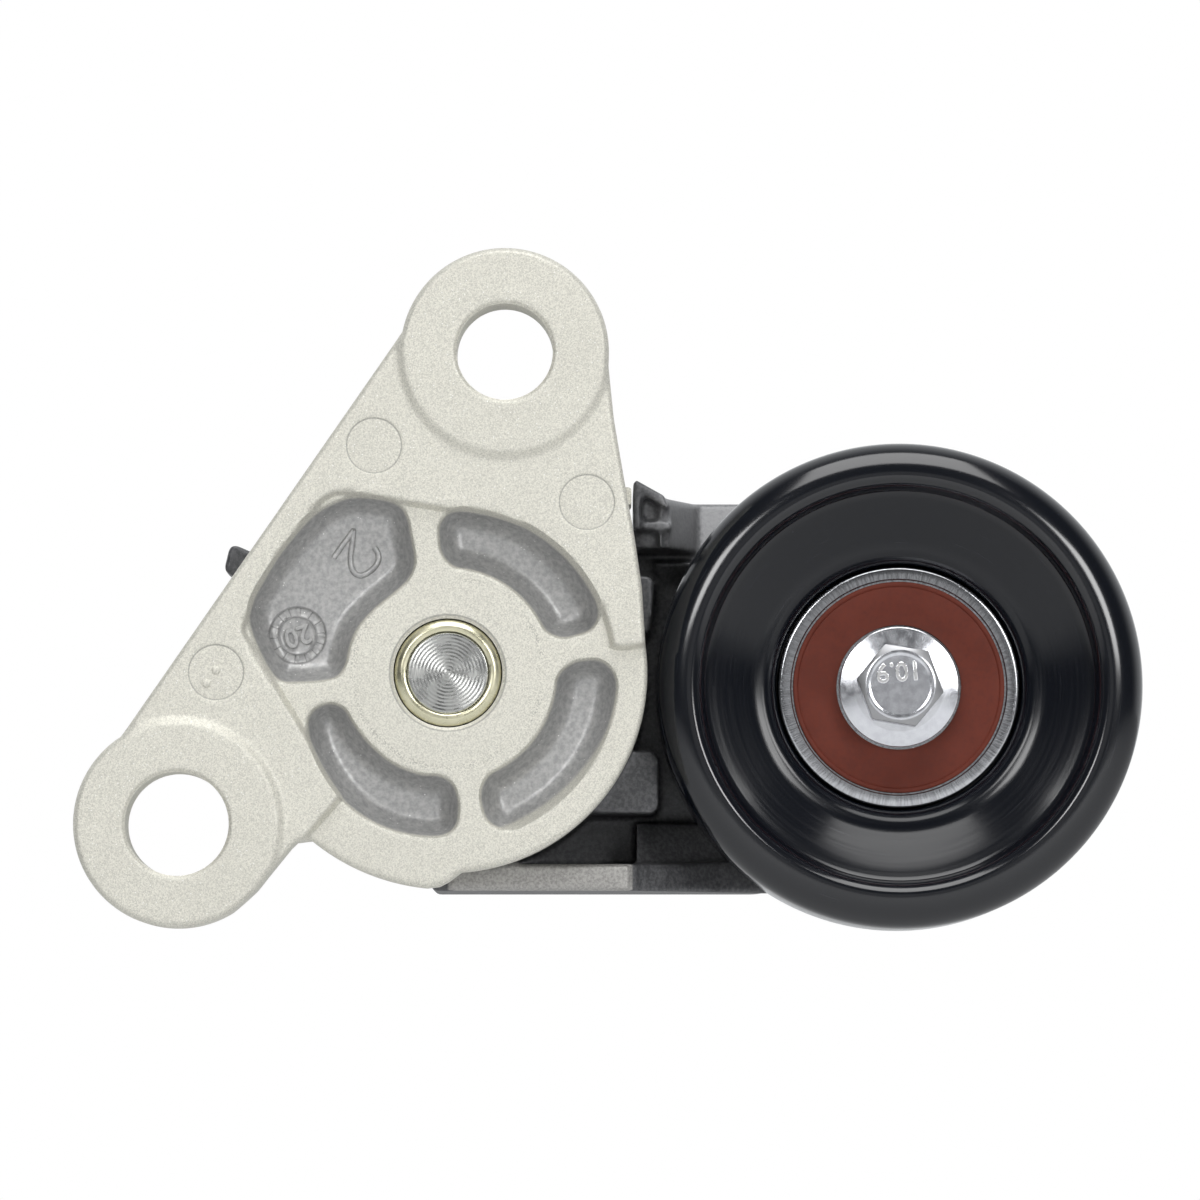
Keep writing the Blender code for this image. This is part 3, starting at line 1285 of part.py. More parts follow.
def make_ball(index, parts):
    """Makes one ball of the bearing."""
    angle = math.tau * index / BALL_COUNT
    bm = bmesh.new()
    bmesh.ops.create_uvsphere(bm, u_segments=8, v_segments=6, radius=BALL_DIAMETER / 2)
    ball = object_from(f"ball_{index + 1}", bm, parts)
    ball.location = (
        PULLEY_X + BALL_PITCH_RADIUS * math.cos(angle),
        BEARING_MID_Y,
        PULLEY_Z + BALL_PITCH_RADIUS * math.sin(angle),
    )
    return ball


def make_bolt(parts, helpers):
    """Makes the flanged hexagon bolt that clamps the inner race to the arm."""
    seat = BEARING_NEAR_Y - SEAT_GAP
    top = seat - BOLT_HEAD_HEIGHT
    end = BEARING_FAR_Y + SEAT_GAP - PILOT_LENGTH + THREAD_DEPTH
    centre = (PULLEY_X, PULLEY_Z)
    profile = [
        (0.0, end), (BOLT_SHANK_RADIUS - BOLT_TIP, end), (BOLT_SHANK_RADIUS, end - BOLT_TIP),
        (BOLT_SHANK_RADIUS, seat), (BOLT_FLANGE_RADIUS, seat),
        (BOLT_FLANGE_RADIUS, seat - BOLT_FLANGE_EDGE),
        (BOLT_ACROSS_FLATS / 2 - BOLT_FLANGE_FOOT,
         seat - BOLT_FLANGE_EDGE - BOLT_FLANGE_RISE),
        (0.0, seat - BOLT_FLANGE_EDGE - BOLT_FLANGE_RISE),
    ]
    bolt = turned_solid("pulley_bolt", profile, parts, centre)
    head = prism("head", hexagon(BOLT_ACROSS_FLATS, BOLT_TURN, centre), top,
                 seat - BOLT_FLANGE_EDGE, helpers)
    corner = BOLT_ACROSS_FLATS / math.sqrt(3)
    crown_profile = [
        (0.0, seat), (corner + OVERRUN, seat), (corner + OVERRUN, top + BOLT_CROWN),
        (BOLT_ACROSS_FLATS / 2 - BOLT_HEAD_CHAMFER, top), (0.0, top),
    ]
    crown = turned_solid("crown", crown_profile, helpers, centre)
    combine(head, [crown], "INTERSECT")
    return join(bolt, head)


# Assembly


def dress(obj, material):
    """Gives an object its one material and shades its round faces smooth."""
    obj.data.materials.clear()
    obj.data.materials.append(material)
    if obj.type == "MESH":
        obj.data.shade_smooth()
        obj.data.set_sharp_from_angle(angle=math.radians(30.0))


def main():
    """Builds every piece and hangs it on the empty of the body that carries it."""
    clear_scene()
    parts = new_collection("belt_tensioner")
    helpers = new_collection("cutters")
    centre = (PULLEY_X, PULLEY_Z)
    base = {
        "cast_aluminium": [make_bracket(parts, helpers)],
        "zinc_yellow": [make_pin_sleeve(parts)],
        "bright_steel": [
            make_pivot_pin(parts),
            ring("thrust_washer", PIN_SLEEVE_INNER + RUNNING_GAP, THRUST_WASHER_RADIUS,
                 WASHER_NEAR_Y, WASHER_FAR_Y, parts),
        ],
        "nylon": [
            ring("friction_ring", FRICTION_RING_INNER, FRICTION_RING_OUTER,
                 DISC_BACK_Y + SEAT_GAP, DRUM_NEAR_Y - SEAT_GAP, parts),
        ],
    }
    arm = {
        "black_casting": [make_arm(parts, helpers)],
        "spring_steel": [make_spring(parts)],
        "nylon": [
            make_bush("rear_bush", True, parts),
            make_bush("front_bush", False, parts),
            ring("spring_sleeve", DRUM_INNER - SEAT_GAP - SLEEVE_WALL, DRUM_INNER - SEAT_GAP,
                 SLEEVE_NEAR_Y, SPRING_FAR_Y - WIRE_DIAMETER / 2 - SLEEVE_END_GAP, parts),
        ],
        "zinc_plate": [make_bolt(parts, helpers), make_cover(parts)],
        "bright_steel": [
            settled(turned("bearing_inner_race", inner_race_profile(), parts, centre,
                           HIDDEN_STEPS)),
        ],
    }
    pulley = {
        "gloss_black": [settled(turned("pulley_rim", pulley_profile(), parts, centre))],
        "bright_steel": [
            settled(turned("bearing_outer_race", outer_race_profile(), parts, centre)),
        ],
        "seal_rubber": [
            make_seal("front_seal", -1.0, parts), make_seal("rear_seal", 1.0, parts),
        ],
    }
    cage = {
        "cage_nylon": [make_cage(parts, helpers)],
        "bright_steel": [make_ball(index, parts) for index in range(BALL_COUNT)],
    }
    shades = {name: new_material(name, *values) for name, values in MATERIALS.items()}
    axis_of = {
        "base": (base, (0.0, 0.0, 0.0), None),
        "arm": (arm, (0.0, 0.0, 0.0), "base"),
        "pulley": (pulley, (PULLEY_X, 0.0, PULLEY_Z), "arm"),
        "cage": (cage, (PULLEY_X, 0.0, PULLEY_Z), "arm"),
    }
    empties = {}
    for body, (pieces, axis, carrier) in axis_of.items():
        empty = bpy.data.objects.new(body + "_axis", None)
        parts.objects.link(empty)
        empty.empty_display_size = PIN_RADIUS
        if carrier:
            empty.parent = empties[carrier]
        empty.location = axis
        empties[body] = empty
        bpy.context.view_layer.update()
        for shade, made in pieces.items():
            for obj in made:
                dress(obj, shades[shade])
                obj.parent = empty
                obj.matrix_parent_inverse = empty.matrix_world.inverted()


main()
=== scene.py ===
"""Looks of a serpentine belt tensioner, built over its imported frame."""

from __future__ import annotations

import logging
import math
from collections.abc import Callable, Sequence
from dataclasses import dataclass
from enum import Enum

import bmesh
import bpy
import numpy as np
from mathutils import Matrix, Vector
from mathutils.geometry import delaunay_2d_cdt


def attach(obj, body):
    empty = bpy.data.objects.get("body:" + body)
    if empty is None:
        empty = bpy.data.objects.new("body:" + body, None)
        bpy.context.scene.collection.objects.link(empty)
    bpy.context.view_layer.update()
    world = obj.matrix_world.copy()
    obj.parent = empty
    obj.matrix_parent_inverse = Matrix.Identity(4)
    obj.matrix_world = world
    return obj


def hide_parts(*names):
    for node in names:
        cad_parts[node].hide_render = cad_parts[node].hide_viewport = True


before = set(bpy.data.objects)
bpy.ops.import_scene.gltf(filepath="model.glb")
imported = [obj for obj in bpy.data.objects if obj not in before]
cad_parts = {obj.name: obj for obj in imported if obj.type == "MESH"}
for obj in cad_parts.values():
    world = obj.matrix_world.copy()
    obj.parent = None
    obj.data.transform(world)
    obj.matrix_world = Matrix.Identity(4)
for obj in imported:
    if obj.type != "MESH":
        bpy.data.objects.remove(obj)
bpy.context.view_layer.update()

LOG = logging.getLogger("belt_tensioner")
MM = 0.001

# Places in the plane of X and Z, and radii, in millimetres
PIVOT_AXIS = (0.0, 0.0)
PULLEY_AXIS = (74.298, -1.816)
MARKS = ((-12.1, 37.2), (22.8, 27.9), (-37.9, 0.0))
MARK_RADIUS = 4.5
DIAL = (-24.8, 6.4)
DIAL_LINE = 3.1
HUB_LINE = 15.6
LETTER_HEIGHT = 3.1

Loop = np.ndarray
Point = tuple[float, float]
Colour = tuple[float, float, float]
Corner = tuple[float, float, float]


class Body(Enum):
    """The moving bodies that pieces ride on."""

    BASE = "base"
    ARM = "arm"
    PULLEY = "pulley"


class Slot(Enum):
    """The record's material slots."""

    CAST = "cast_aluminium"
    COATED = "coated_casting"
    YELLOW = "yellow_zinc"
    TURNED = "turned_steel"
    BEARING = "bearing_steel"
    ZINC = "zinc_plate"
    BLACK = "gloss_black"
    SEAL = "seal_rubber"
    PLASTIC = "black_plastic"


# Shader building


class Value:
    """One output in a shader under construction, which takes part in plain arithmetic."""

    def __init__(self, shader: Shader, socket: bpy.types.NodeSocket) -> None:
        """Wraps a socket."""
        self.shader, self.socket = shader, socket

    def __add__(self, other: object) -> Value:
        """Adds a value or a number."""
        return self.shader.math("ADD", self, other)

    def __sub__(self, other: object) -> Value:
        """Takes a value or a number away."""
        return self.shader.math("SUBTRACT", self, other)

    def __rsub__(self, other: float) -> Value:
        """Takes this value away from a number."""
        return self.shader.math("SUBTRACT", other, self)

    def __mul__(self, other: object) -> Value:
        """Multiplies by a value or a number."""
        return self.shader.math("MULTIPLY", self, other)

    def most(self, other: Value) -> Value:
        """Returns the greater of two values."""
        return self.shader.math("MAXIMUM", self, other)

    def over(self, limit: float) -> Value:
        """Returns 1 above a limit and 0 below it."""
        return self.shader.math("GREATER_THAN", self, limit)

    def span(self, low: float, high: float, first: float = 0.0, last: float = 1.0) -> Value:
        """Maps the value from one range to another, softly and clamped.

        Args:
            low: where the result is first.
            high: where the result is last.
            first: the result at low.
            last: the result at high.

        Returns:
            The result.
        """
        node = self.shader.node("MapRange", Value=self, From_Min=low, From_Max=high,
                                To_Min=first, To_Max=last)
        node.interpolation_type = "SMOOTHSTEP"
        return Value(self.shader, node.outputs["Result"])

    def fade(self, low: float, high: float) -> Value:
        """Returns 1 below low and 0 above high."""
        return self.span(low, high, 1.0, 0.0)


class Shader:
    """A material's nodes under construction, read in millimetres of the object's space."""

    def __init__(self, name: str) -> None:
        """Starts a material with one Principled shader."""
        self.material = bpy.data.materials.new(name)
        self.material.use_nodes = True
        self.tree = self.material.node_tree
        self.surface = self.tree.nodes["Principled BSDF"]
        coords = Value(self, self.node("TexCoord").outputs["Object"])
        self.place = self.vector("MULTIPLY", coords, (1.0 / MM,) * 3)

    def link(self, value: object, socket: bpy.types.NodeSocket) -> None:
        """Puts a number, a colour or another value into a socket."""
        if isinstance(value, Value):
            self.tree.links.new(value.socket, socket)
        elif socket.type == "RGBA":
            socket.default_value = (*value, 1.0)
        else:
            socket.default_value = value

    def node(self, kind: str, **inputs: object) -> bpy.types.Node:
        """Adds a shader node and feeds its inputs, named with underscores for spaces."""
        node = self.tree.nodes.new(f"ShaderNode{kind}")
        for name, value in inputs.items():
            self.link(value, node.inputs[name.replace("_", " ")])
        return node

    def vector(self, operation: str, first: Value, second: Corner) -> Value:
        """Adds a vector operation on a value and a constant."""
        node = self.node("VectorMath")
        node.operation = operation
        self.link(first, node.inputs[0])
        self.link(second, node.inputs[1])
        return Value(self, node.outputs["Vector"])

    def math(self, operation: str, *values: object) -> Value:
        """Adds a math operation on values or numbers."""
        node = self.node("Math")
        node.operation = operation
        for socket, value in zip(node.inputs, values):
            self.link(value, socket)
        return Value(self, node.outputs[0])

    def noise(self, scale: float, detail: float = 2.0, rough: float = 0.5,
              place: Value | None = None) -> Value:
        """Adds a noise texture.

        Args:
            scale: waves in a millimetre.
            detail: octaves.
            rough: strength of the finer octaves.
            place: the vector it reads, the object's space by default.

        Returns:
            The noise, from 0 to 1.
        """
        node = self.node("TexNoise", Vector=place or self.place, Scale=scale, Detail=detail,
                         Roughness=rough)
        return Value(self, node.outputs["Fac"])

    def cells(self, scale: float) -> tuple[Value, Value]:
        """Returns the distance to the nearest cell's middle, and that cell's random colour."""
        node = self.node("TexVoronoi", Vector=self.place, Scale=scale)
        return Value(self, node.outputs["Distance"]), Value(self, node.outputs["Color"])

    def blend(self, factor: Value, first: object, second: object) -> Value:
        """Mixes two colours.

        Args:
            factor: how much of the second shows.
            first: a colour or value.
            second: a colour or value.

        Returns:
            The mixed colour.
        """
        node = self.node("Mix")
        node.data_type = "RGBA"
        for value, index in ((factor, 0), (first, 6), (second, 7)):
            self.link(value, node.inputs[index])
        return Value(self, node.outputs[2])

    def bump(self, height: Value, depth: float, under: Value | None = None) -> Value:
        """Adds a bump.

        Args:
            height: the height, from 0 to 1.
            depth: how many millimetres a height of 1 stands.
            under: the normal that it goes on top of.

        Returns:
            The normal.
        """
        node = self.node("Bump", Distance=depth * MM, Height=height)
        if under is not None:
            self.link(under, node.inputs["Normal"])
        return Value(self, node.outputs["Normal"])

    def split(self, vector: Value) -> list[Value]:
        """Returns a vector's X, Y and Z."""
        return [Value(self, part) for part in self.node("SeparateXYZ", Vector=vector).outputs]

    def join(self, x: Value, y: Value, z: Value) -> Value:
        """Makes a vector from three values."""
        return Value(self, self.node("CombineXYZ", X=x, Y=y, Z=z).outputs[0])

    def polar(self, axis: Point) -> tuple[Value, Value, Value]:
        """Returns the radius, the angle and the height Y about an axis along Y."""
        x, y, z = self.split(self.vector("SUBTRACT", self.place, (axis[0], 0.0, axis[1])))
        return self.math("SQRT", x * x + z * z), self.math("ARCTAN2", z, x), y

    def ring(self, axis: Point, radius: float, width: float) -> Value:
        """Returns 1 on a thin circle round an axis along Y, and 0 a width away from it."""
        away = self.math("ABSOLUTE", self.polar(axis)[0] - radius)
        return away.fade(width * 0.35, width)

    def finish(self, colour: object, rough: object, metal: float, normal: Value,
               **extra: object) -> bpy.types.Material:
        """Feeds the Principled shader.

        Args:
            colour: the base colour, or its value.
            rough: the roughness, or its value.
            metal: the metallic value.
            normal: the normal.
            **extra: more of the shader's inputs, with underscores for spaces.

        Returns:
            The material.
        """
        inputs = {"Base Color": colour, "Roughness": rough, "Metallic": metal,
                  "Normal": normal, **extra}
        for name, value in inputs.items():
            self.link(value, self.surface.inputs[name.replace("_", " ")])
        return self.material


# Finishes


@dataclass(frozen=True)
class BlastedAluminium:
    """Shot-blasted die casting: grain with painted glints on the faces, smoother in the pockets,
    where a darker tone is partly the cast skin and partly painted shade.
    """

    colour: Colour = (0.80, 0.785, 0.705)
    dark: Colour = (0.53, 0.52, 0.465)
    pocket: Colour = (0.50, 0.498, 0.49)
    pocket_skin_and_shade: Colour = (0.34, 0.34, 0.34)
    painted_glint: Colour = (0.97, 0.97, 0.95)
    shade_and_wear: Colour = (0.10, 0.10, 0.10)
    pockets: Point = (-3.0, 5.0)
    grain: float = 3.3
    depth: float = 0.05

    def build(self) -> bpy.types.Material:
        """Returns the material."""
        shader = Shader("blasted_aluminium")
        around, _, y = shader.polar(self.pockets)
        # The pockets' darker colour is partly their smoother cast skin and partly painted shade in
        # the recesses.
        inside = y.span(3.5, 4.8) * y.fade(9.3, 9.45) * around.fade(32.0, 32.8)
        coarse = shader.noise(self.grain, 3.0, 0.7)
        speck = coarse * 0.6 + shader.cells(self.grain * 1.7)[1] * 0.4
        face = shader.blend(speck.span(0.25, 0.72), self.dark, self.colour)
        face = shader.blend(shader.noise(0.05).span(0.35, 0.75, 0.0, 0.12), face, self.dark)
        # Painted shade mixed with the cast skin's tone: both pocket colours are darker than the
        # face.
        sunk = shader.blend(shader.noise(1.1, 4.0, 0.65).span(0.3, 0.7), self.pocket_skin_and_shade, self.pocket)
        # Painted glints: near-white specks on a few grain cells stand in for light glancing off
        # the blasted grain.
        away, pick = shader.cells(self.grain * 0.55)
        colour = shader.blend(away.span(0.10, 0.24, 0.8, 0.0) * pick.over(0.80),
                              shader.blend(inside, face, sunk), self.painted_glint)
        # Painted shade: thin dark lines darken the creases and gaps where shade falls, and the
        # hub's ring is wear.
        colour = shader.blend(self.lines(shader, speck, y), colour, self.shade_and_wear)
        rough = coarse.span(0.3, 0.7, 0.48, 0.62) - inside * 0.14
        height = speck * inside.span(0.0, 1.0, 1.0, 0.45)
        return shader.finish(colour, rough, 0.5, shader.bump(height, self.depth))

    def lines(self, shader: Shader, speck: Value, y: Value) -> Value:
        """Returns where thin dark lines are painted: painted shade in the creases round the pin
        hole and the marks and in the dial's gaps and grooves, with a worn ring on the hub.

        Args:
            shader: the material's nodes.
            speck: the grain.
            y: the height along Y.

        Returns:
            The strength of the lines.
        """
        line = shader.ring(PIVOT_AXIS, 9.55, 0.20)
        for spot in MARKS:
            line = line.most(shader.ring(spot, MARK_RADIUS, 0.17))
        # The hub's ring: wear along a faint crease.
        shade_and_wear = shader.ring(PIVOT_AXIS, HUB_LINE, 0.6) * speck.span(0.36, 0.52, 0.6, 0.0)
        line = line.most(shade_and_wear * shader.noise(0.16, 1.0).span(0.42, 0.6))
        away, turn, _ = shader.polar(DIAL)
        # Painted shade in the gaps between the dial's bars and in its grooves.
        spokes = shader.math("SINE", turn * 14.0).span(0.86, 0.98)
        mark = spokes * shader.math("ABSOLUTE", away - 3.9).fade(0.7, 0.8)
        for radius in (DIAL_LINE, 4.7):
            mark = mark.most(shader.ring(DIAL, radius, 0.24))
        floor = y.span(8.0, 8.6) * y.fade(9.2, 9.6)
        return (line * y.span(3.9, 4.4, 0.42, 0.0)).most(mark * floor * 0.5)


@dataclass(frozen=True)
class CoatedCasting:
    """Charcoal coat on a die casting, with a light bare rail face near the front and a painted
    patch of light from above along its top.
    """

    colour: Colour = (0.066, 0.067, 0.071)
    light: Colour = (0.125, 0.126, 0.131)
    painted_top_light: Colour = (0.30, 0.302, 0.31)
    bare: Colour = (0.46, 0.45, 0.43)
    rail_y: float = 14.9

    def build(self) -> bpy.types.Material:
        """Returns the material."""
        shader = Shader("coated_casting")
        x, y, z = shader.split(shader.place)
        rail = (y.fade(self.rail_y, self.rail_y + 0.2) * z.fade(-31.0, -30.4)
                * x.span(-0.4, 0.2) * x.fade(30.0, 30.5))
        coarse = shader.noise(1.6, 4.0, 0.6)
        coat = shader.blend(coarse.span(0.35, 0.7), self.colour, self.light)
        # Painted light from above: the dust mask lightens a mottled patch along the top of the
        # arm.
        dust = x.span(31.0, 38.5) * z.span(19.5, 22.5) * x.fade(60.0, 80.0)
        coat = shader.blend(dust * coarse.span(0.2, 0.8, 0.5, 1.0), coat, self.painted_top_light)
        bare = shader.blend(shader.noise(2.6, 3.0, 0.6).span(0.3, 0.7),
                            tuple(value * 0.62 for value in self.bare), self.bare)
        normal = shader.bump(shader.noise(1.9, 3.0, 0.6), 0.035)
        return shader.finish(shader.blend(rail, coat, bare), coarse.span(0.3, 0.7, 0.38, 0.52),
                             0.35, normal, Specular_IOR_Level=0.6)


@dataclass(frozen=True)
class GlossBlack:
    """Gloss black coat on the spun pulley, with faint waves, dust specks and scratches."""

    colour: Colour = (0.0028, 0.0038, 0.0068)
    speck: Colour = (0.25, 0.27, 0.30)

    def build(self) -> bpy.types.Material:
        """Returns the material."""
        shader = Shader("gloss_black")
        radius, angle, y = shader.polar(PULLEY_AXIS)
        away, pick = shader.cells(0.95)
        dot = pick.over(0.90) * away.fade(0.035, 0.075)
        scratch = shader.noise(1.0, place=shader.join(radius * 9.0, angle * 2.2, y))
        marks = (dot * 0.55).most(scratch.span(0.715, 0.76) * 0.10)
        web = radius.fade(30.8, 32.6)
        streak = shader.noise(1.0, place=shader.join(radius * 2.4, angle * 1.3, y))
        peel = shader.bump(shader.noise(3.2, 2.0, 0.6), 0.0025)
        return shader.finish(shader.blend(marks, self.colour, self.speck), 0.26, 0.0,
                             shader.bump(shader.noise(0.35), 0.006, peel), Coat_Weight=0.85,
                             Coat_Roughness=web * streak.span(0.3, 0.7, -0.01, 0.06) + 0.14,
                             Specular_IOR_Level=0.05, Coat_IOR=1.66 - web * 0.2)


@dataclass(frozen=True)
class GroundSteel:
    """Ground bearing ring: bright, with short scratches across its flat face."""

    colour: Colour = (0.52, 0.53, 0.555)
    dark: Colour = (0.34, 0.345, 0.36)

    def build(self) -> bpy.types.Material:
        """Returns the material."""
        shader = Shader("ground_steel")
        radius, angle, y = shader.polar(PULLEY_AXIS)
        lines = shader.noise(1.0, 3.0, 0.7, shader.join(angle * 62.0, radius * 0.25, y * 0.5))
        colour = shader.blend(lines.span(0.36, 0.60), self.dark, self.colour)
        return shader.finish(colour, lines.span(0.3, 0.7, 0.17, 0.11), 1.0,
                             shader.bump(lines, 0.022))


@dataclass(frozen=True)
class TurnedMetal:
    """Metal turned on a lathe, with fine round tool lines about the pivot."""

    name: str
    colour: Colour
    dark: Colour
    rough: float
    pitch: float
    depth: float

    def build(self) -> bpy.types.Material:
        """Returns the material."""
        shader = Shader(self.name)
        radius, _, y = shader.polar(PIVOT_AXIS)
        waves = shader.math("SINE", (radius + y) * (math.tau / self.pitch))
        uneven = shader.noise(0.5)
        colour = shader.blend((waves * 0.10 + uneven).span(0.25, 0.75), self.dark, self.colour)
        rough = uneven.span(0.3, 0.7, self.rough * 0.85, self.rough * 1.15)
        return shader.finish(colour, rough, 1.0, shader.bump(uneven, self.depth))


@dataclass(frozen=True)
class ZincPlate:
    """Bright zinc plate on a cold-headed bolt or a pressed cap, with painted shade on the bolt
    head's chamfer and sides and a painted highlight on its raised letters.
    """

    colour: Colour = (0.70, 0.715, 0.75)
    dark: Colour = (0.60, 0.61, 0.65)
    # The colour of the painted shade on the head's chamfer and sides.
    chamfer: Colour = (0.30, 0.30, 0.305)
    # The colour of the painted highlight on the raised letters.
    letter_highlight: Colour = (0.97, 0.97, 0.98)

    def build(self) -> bpy.types.Material:
        """Returns the material."""
        shader = Shader("zinc_plate")
        patch = shader.noise(0.8, 3.0, 0.55)
        tone = patch * 0.75 + shader.noise(5.0, 2.0, 0.6) * 0.25
        colour = shader.blend(tone.span(0.35, 0.65), self.dark, self.colour)
        radius, _, y = shader.polar(PULLEY_AXIS)
        # Painted shade: the hexagon's chamfer and sides darken where they turn from the light.
        shaded_chamfer = radius.span(5.62, 5.85) * radius.fade(7.3, 7.5) * y.span(8.3, 9.5, 1.0, 0.25)
        colour = shader.blend(shaded_chamfer * 0.8, colour, self.chamfer)
        # Painted highlight: the raised letters on the head are lightened to near white.
        raised = radius.fade(5.4, 5.5) * y.fade(6.44, 6.56)
        colour = shader.blend(raised, colour, self.letter_highlight)
        rough = patch.span(0.3, 0.7, 0.18, 0.24) + shaded_chamfer * 0.12
        return shader.finish(colour, rough, 1.0, shader.bump(tone, 0.003))


@dataclass(frozen=True)
class Moulded:
    """Moulded rubber or plastic with a faint mottle."""

    name: str
    colour: Colour
    light: Colour
    rough: float = 0.5
    grain: float = 1.4
    depth: float = 0.02
    shine: float = 0.5

    def build(self) -> bpy.types.Material:
        """Returns the material."""
        shader = Shader(self.name)
        mottle = shader.noise(self.grain, 4.0, 0.6)
        tone = mottle * 0.5 + shader.noise(self.grain * 0.12) * 0.5
        colour = shader.blend(tone.span(0.35, 0.68), self.colour, self.light)
        rough = mottle.span(0.3, 0.7, self.rough * 0.85, self.rough * 1.15)
        return shader.finish(colour, rough, 0.0, shader.bump(mottle, self.depth),
                             Specular_IOR_Level=self.shine)


@dataclass(frozen=True)
class SpringWire:
    """Dark oil-hardened wire with faint drawing lines."""

    colour: Colour = (0.07, 0.07, 0.08)
    light: Colour = (0.16, 0.16, 0.17)

    def build(self) -> bpy.types.Material:
        """Returns the material."""
        shader = Shader("spring_wire")
        tone = shader.noise(2.0, 4.0, 0.6)
        colour = shader.blend(tone.span(0.3, 0.7), self.colour, self.light)
        return shader.finish(colour, 0.38, 0.8, shader.bump(tone, 0.02))


class Finishes:
    """Every finish, built once and shared by the pieces."""

    def __init__(self) -> None:
        """Builds the materials."""
        self.cast = BlastedAluminium().build()
        self.coated = CoatedCasting().build()
        self.black = GlossBlack().build()
        self.ground = GroundSteel().build()
        self.pin = TurnedMetal("turned_pin", (0.48, 0.485, 0.47), (0.39, 0.395, 0.385),
                               0.27, 0.62, 0.0008).build()
        self.yellow = TurnedMetal("yellow_zinc", (0.76, 0.73, 0.54), (0.62, 0.60, 0.43),
                                  0.30, 0.35, 0.001).build()
        self.zinc = ZincPlate().build()
        self.seal = Moulded("seal_rubber", (0.106, 0.021, 0.012), (0.140, 0.029, 0.017),
                            0.6, 1.3, 0.008, 0.22).build()
        self.plastic = Moulded("black_plastic", (0.018, 0.018, 0.019),
                               (0.030, 0.030, 0.031)).build()
        self.cage = Moulded("cage_plastic", (0.42, 0.30, 0.14), (0.50, 0.38, 0.20)).build()
        self.spring = SpringWire().build()


# Outlines in the plane of X and Z


def arc(radius: float, start: float, end: float, centre: Point = PIVOT_AXIS,
        pace: float = 0.4) -> list[Point]:
    """Returns points along an arc.

    Args:
        radius: the arc's radius.
        start: its first angle, in degrees.
        end: its last angle.
        centre: its centre.
        pace: the longest step between points.

    Returns:
        The points, both ends included.
    """
    steps = max(2, math.ceil(abs(math.radians(end - start)) * radius / pace))
    return [(centre[0] + radius * math.cos(turn), centre[1] + radius * math.sin(turn))
            for turn in np.radians(np.linspace(start, end, steps + 1))]


def circle(radius: float, centre: Point = PIVOT_AXIS, pace: float = 0.4) -> Loop:
    """Returns a full circle as a closed outline."""
    return np.array(arc(radius, 0.0, 360.0, centre, pace)[:-1])


def rounded(corners: Sequence[Corner], pace: float = 0.4) -> list[Point]:
    """Rounds the corners of a closed outline.

    Args:
        corners: (x, z, radius) of each corner.
        pace: the longest step along a fillet.

    Returns:
        The outline's points.
    """
    found: list[Point] = []
    for index, (x, z, radius) in enumerate(corners):
        here = Vector((x, z))
        back = Vector(corners[index - 1][:2]) - here
        ahead = Vector(corners[(index + 1) % len(corners)][:2]) - here
        turn = back.angle(ahead, math.pi)
        sweep = math.pi - turn
        if radius <= 0.0 or sweep < 0.02:
            found.append((x, z))
            continue
        reach = min(radius / math.tan(turn / 2), 0.49 * back.length, 0.49 * ahead.length)
        fillet = reach * math.tan(turn / 2)
        middle = (back.normalized() + ahead.normalized()).normalized()
        centre = here + middle * (fillet / math.sin(turn / 2))
        first = here + back.normalized() * reach - centre
        last = here + ahead.normalized() * reach - centre
        side = 1.0 if first.x * last.y - first.y * last.x > 0 else -1.0
        steps = max(2, math.ceil(sweep * fillet / pace))
        for step in range(steps + 1):
            angle = side * sweep * step / steps
            cos, sin = math.cos(angle), math.sin(angle)
            found.append((centre.x + first.x * cos - first.y * sin,
                          centre.y + first.x * sin + first.y * cos))
    return found


def flowing(knots: Sequence[Point], steps: int = 6) -> list[Point]:
    """Draws a closed smooth curve through knots.

    Args:
        knots: the (x, z) places that the curve goes through.
        steps: points between two knots.

    Returns:
        The curve's points.
    """
    spots = np.array(knots)
    before, after, beyond = (np.roll(spots, shift, axis=0) for shift in (1, -1, -2))
    curve = [0.5 * (2.0 * spots + (after - before) * share
                    + (2.0 * before - 5.0 * spots + 4.0 * after - beyond) * share**2
                    + (3.0 * spots - before - 3.0 * after + beyond) * share**3)
             for share in np.arange(steps) / steps]
    return [(float(x), float(z)) for x, z in np.stack(curve, axis=1).reshape(-1, 2)]


def resampled(points: Sequence[Point], pace: float) -> Loop:
    """Splits the long sides of a closed outline into steps of about one length."""
    found: list[Point] = []
    for index, (x0, z0) in enumerate(points):
        x1, z1 = points[(index + 1) % len(points)]
        length = math.hypot(x1 - x0, z1 - z0)
        if length < 0.04:
            continue
        steps = max(1, round(length / pace))
        for step in range(steps):
            share = step / steps
            found.append((x0 + (x1 - x0) * share, z0 + (z1 - z0) * share))
    return np.array(found)


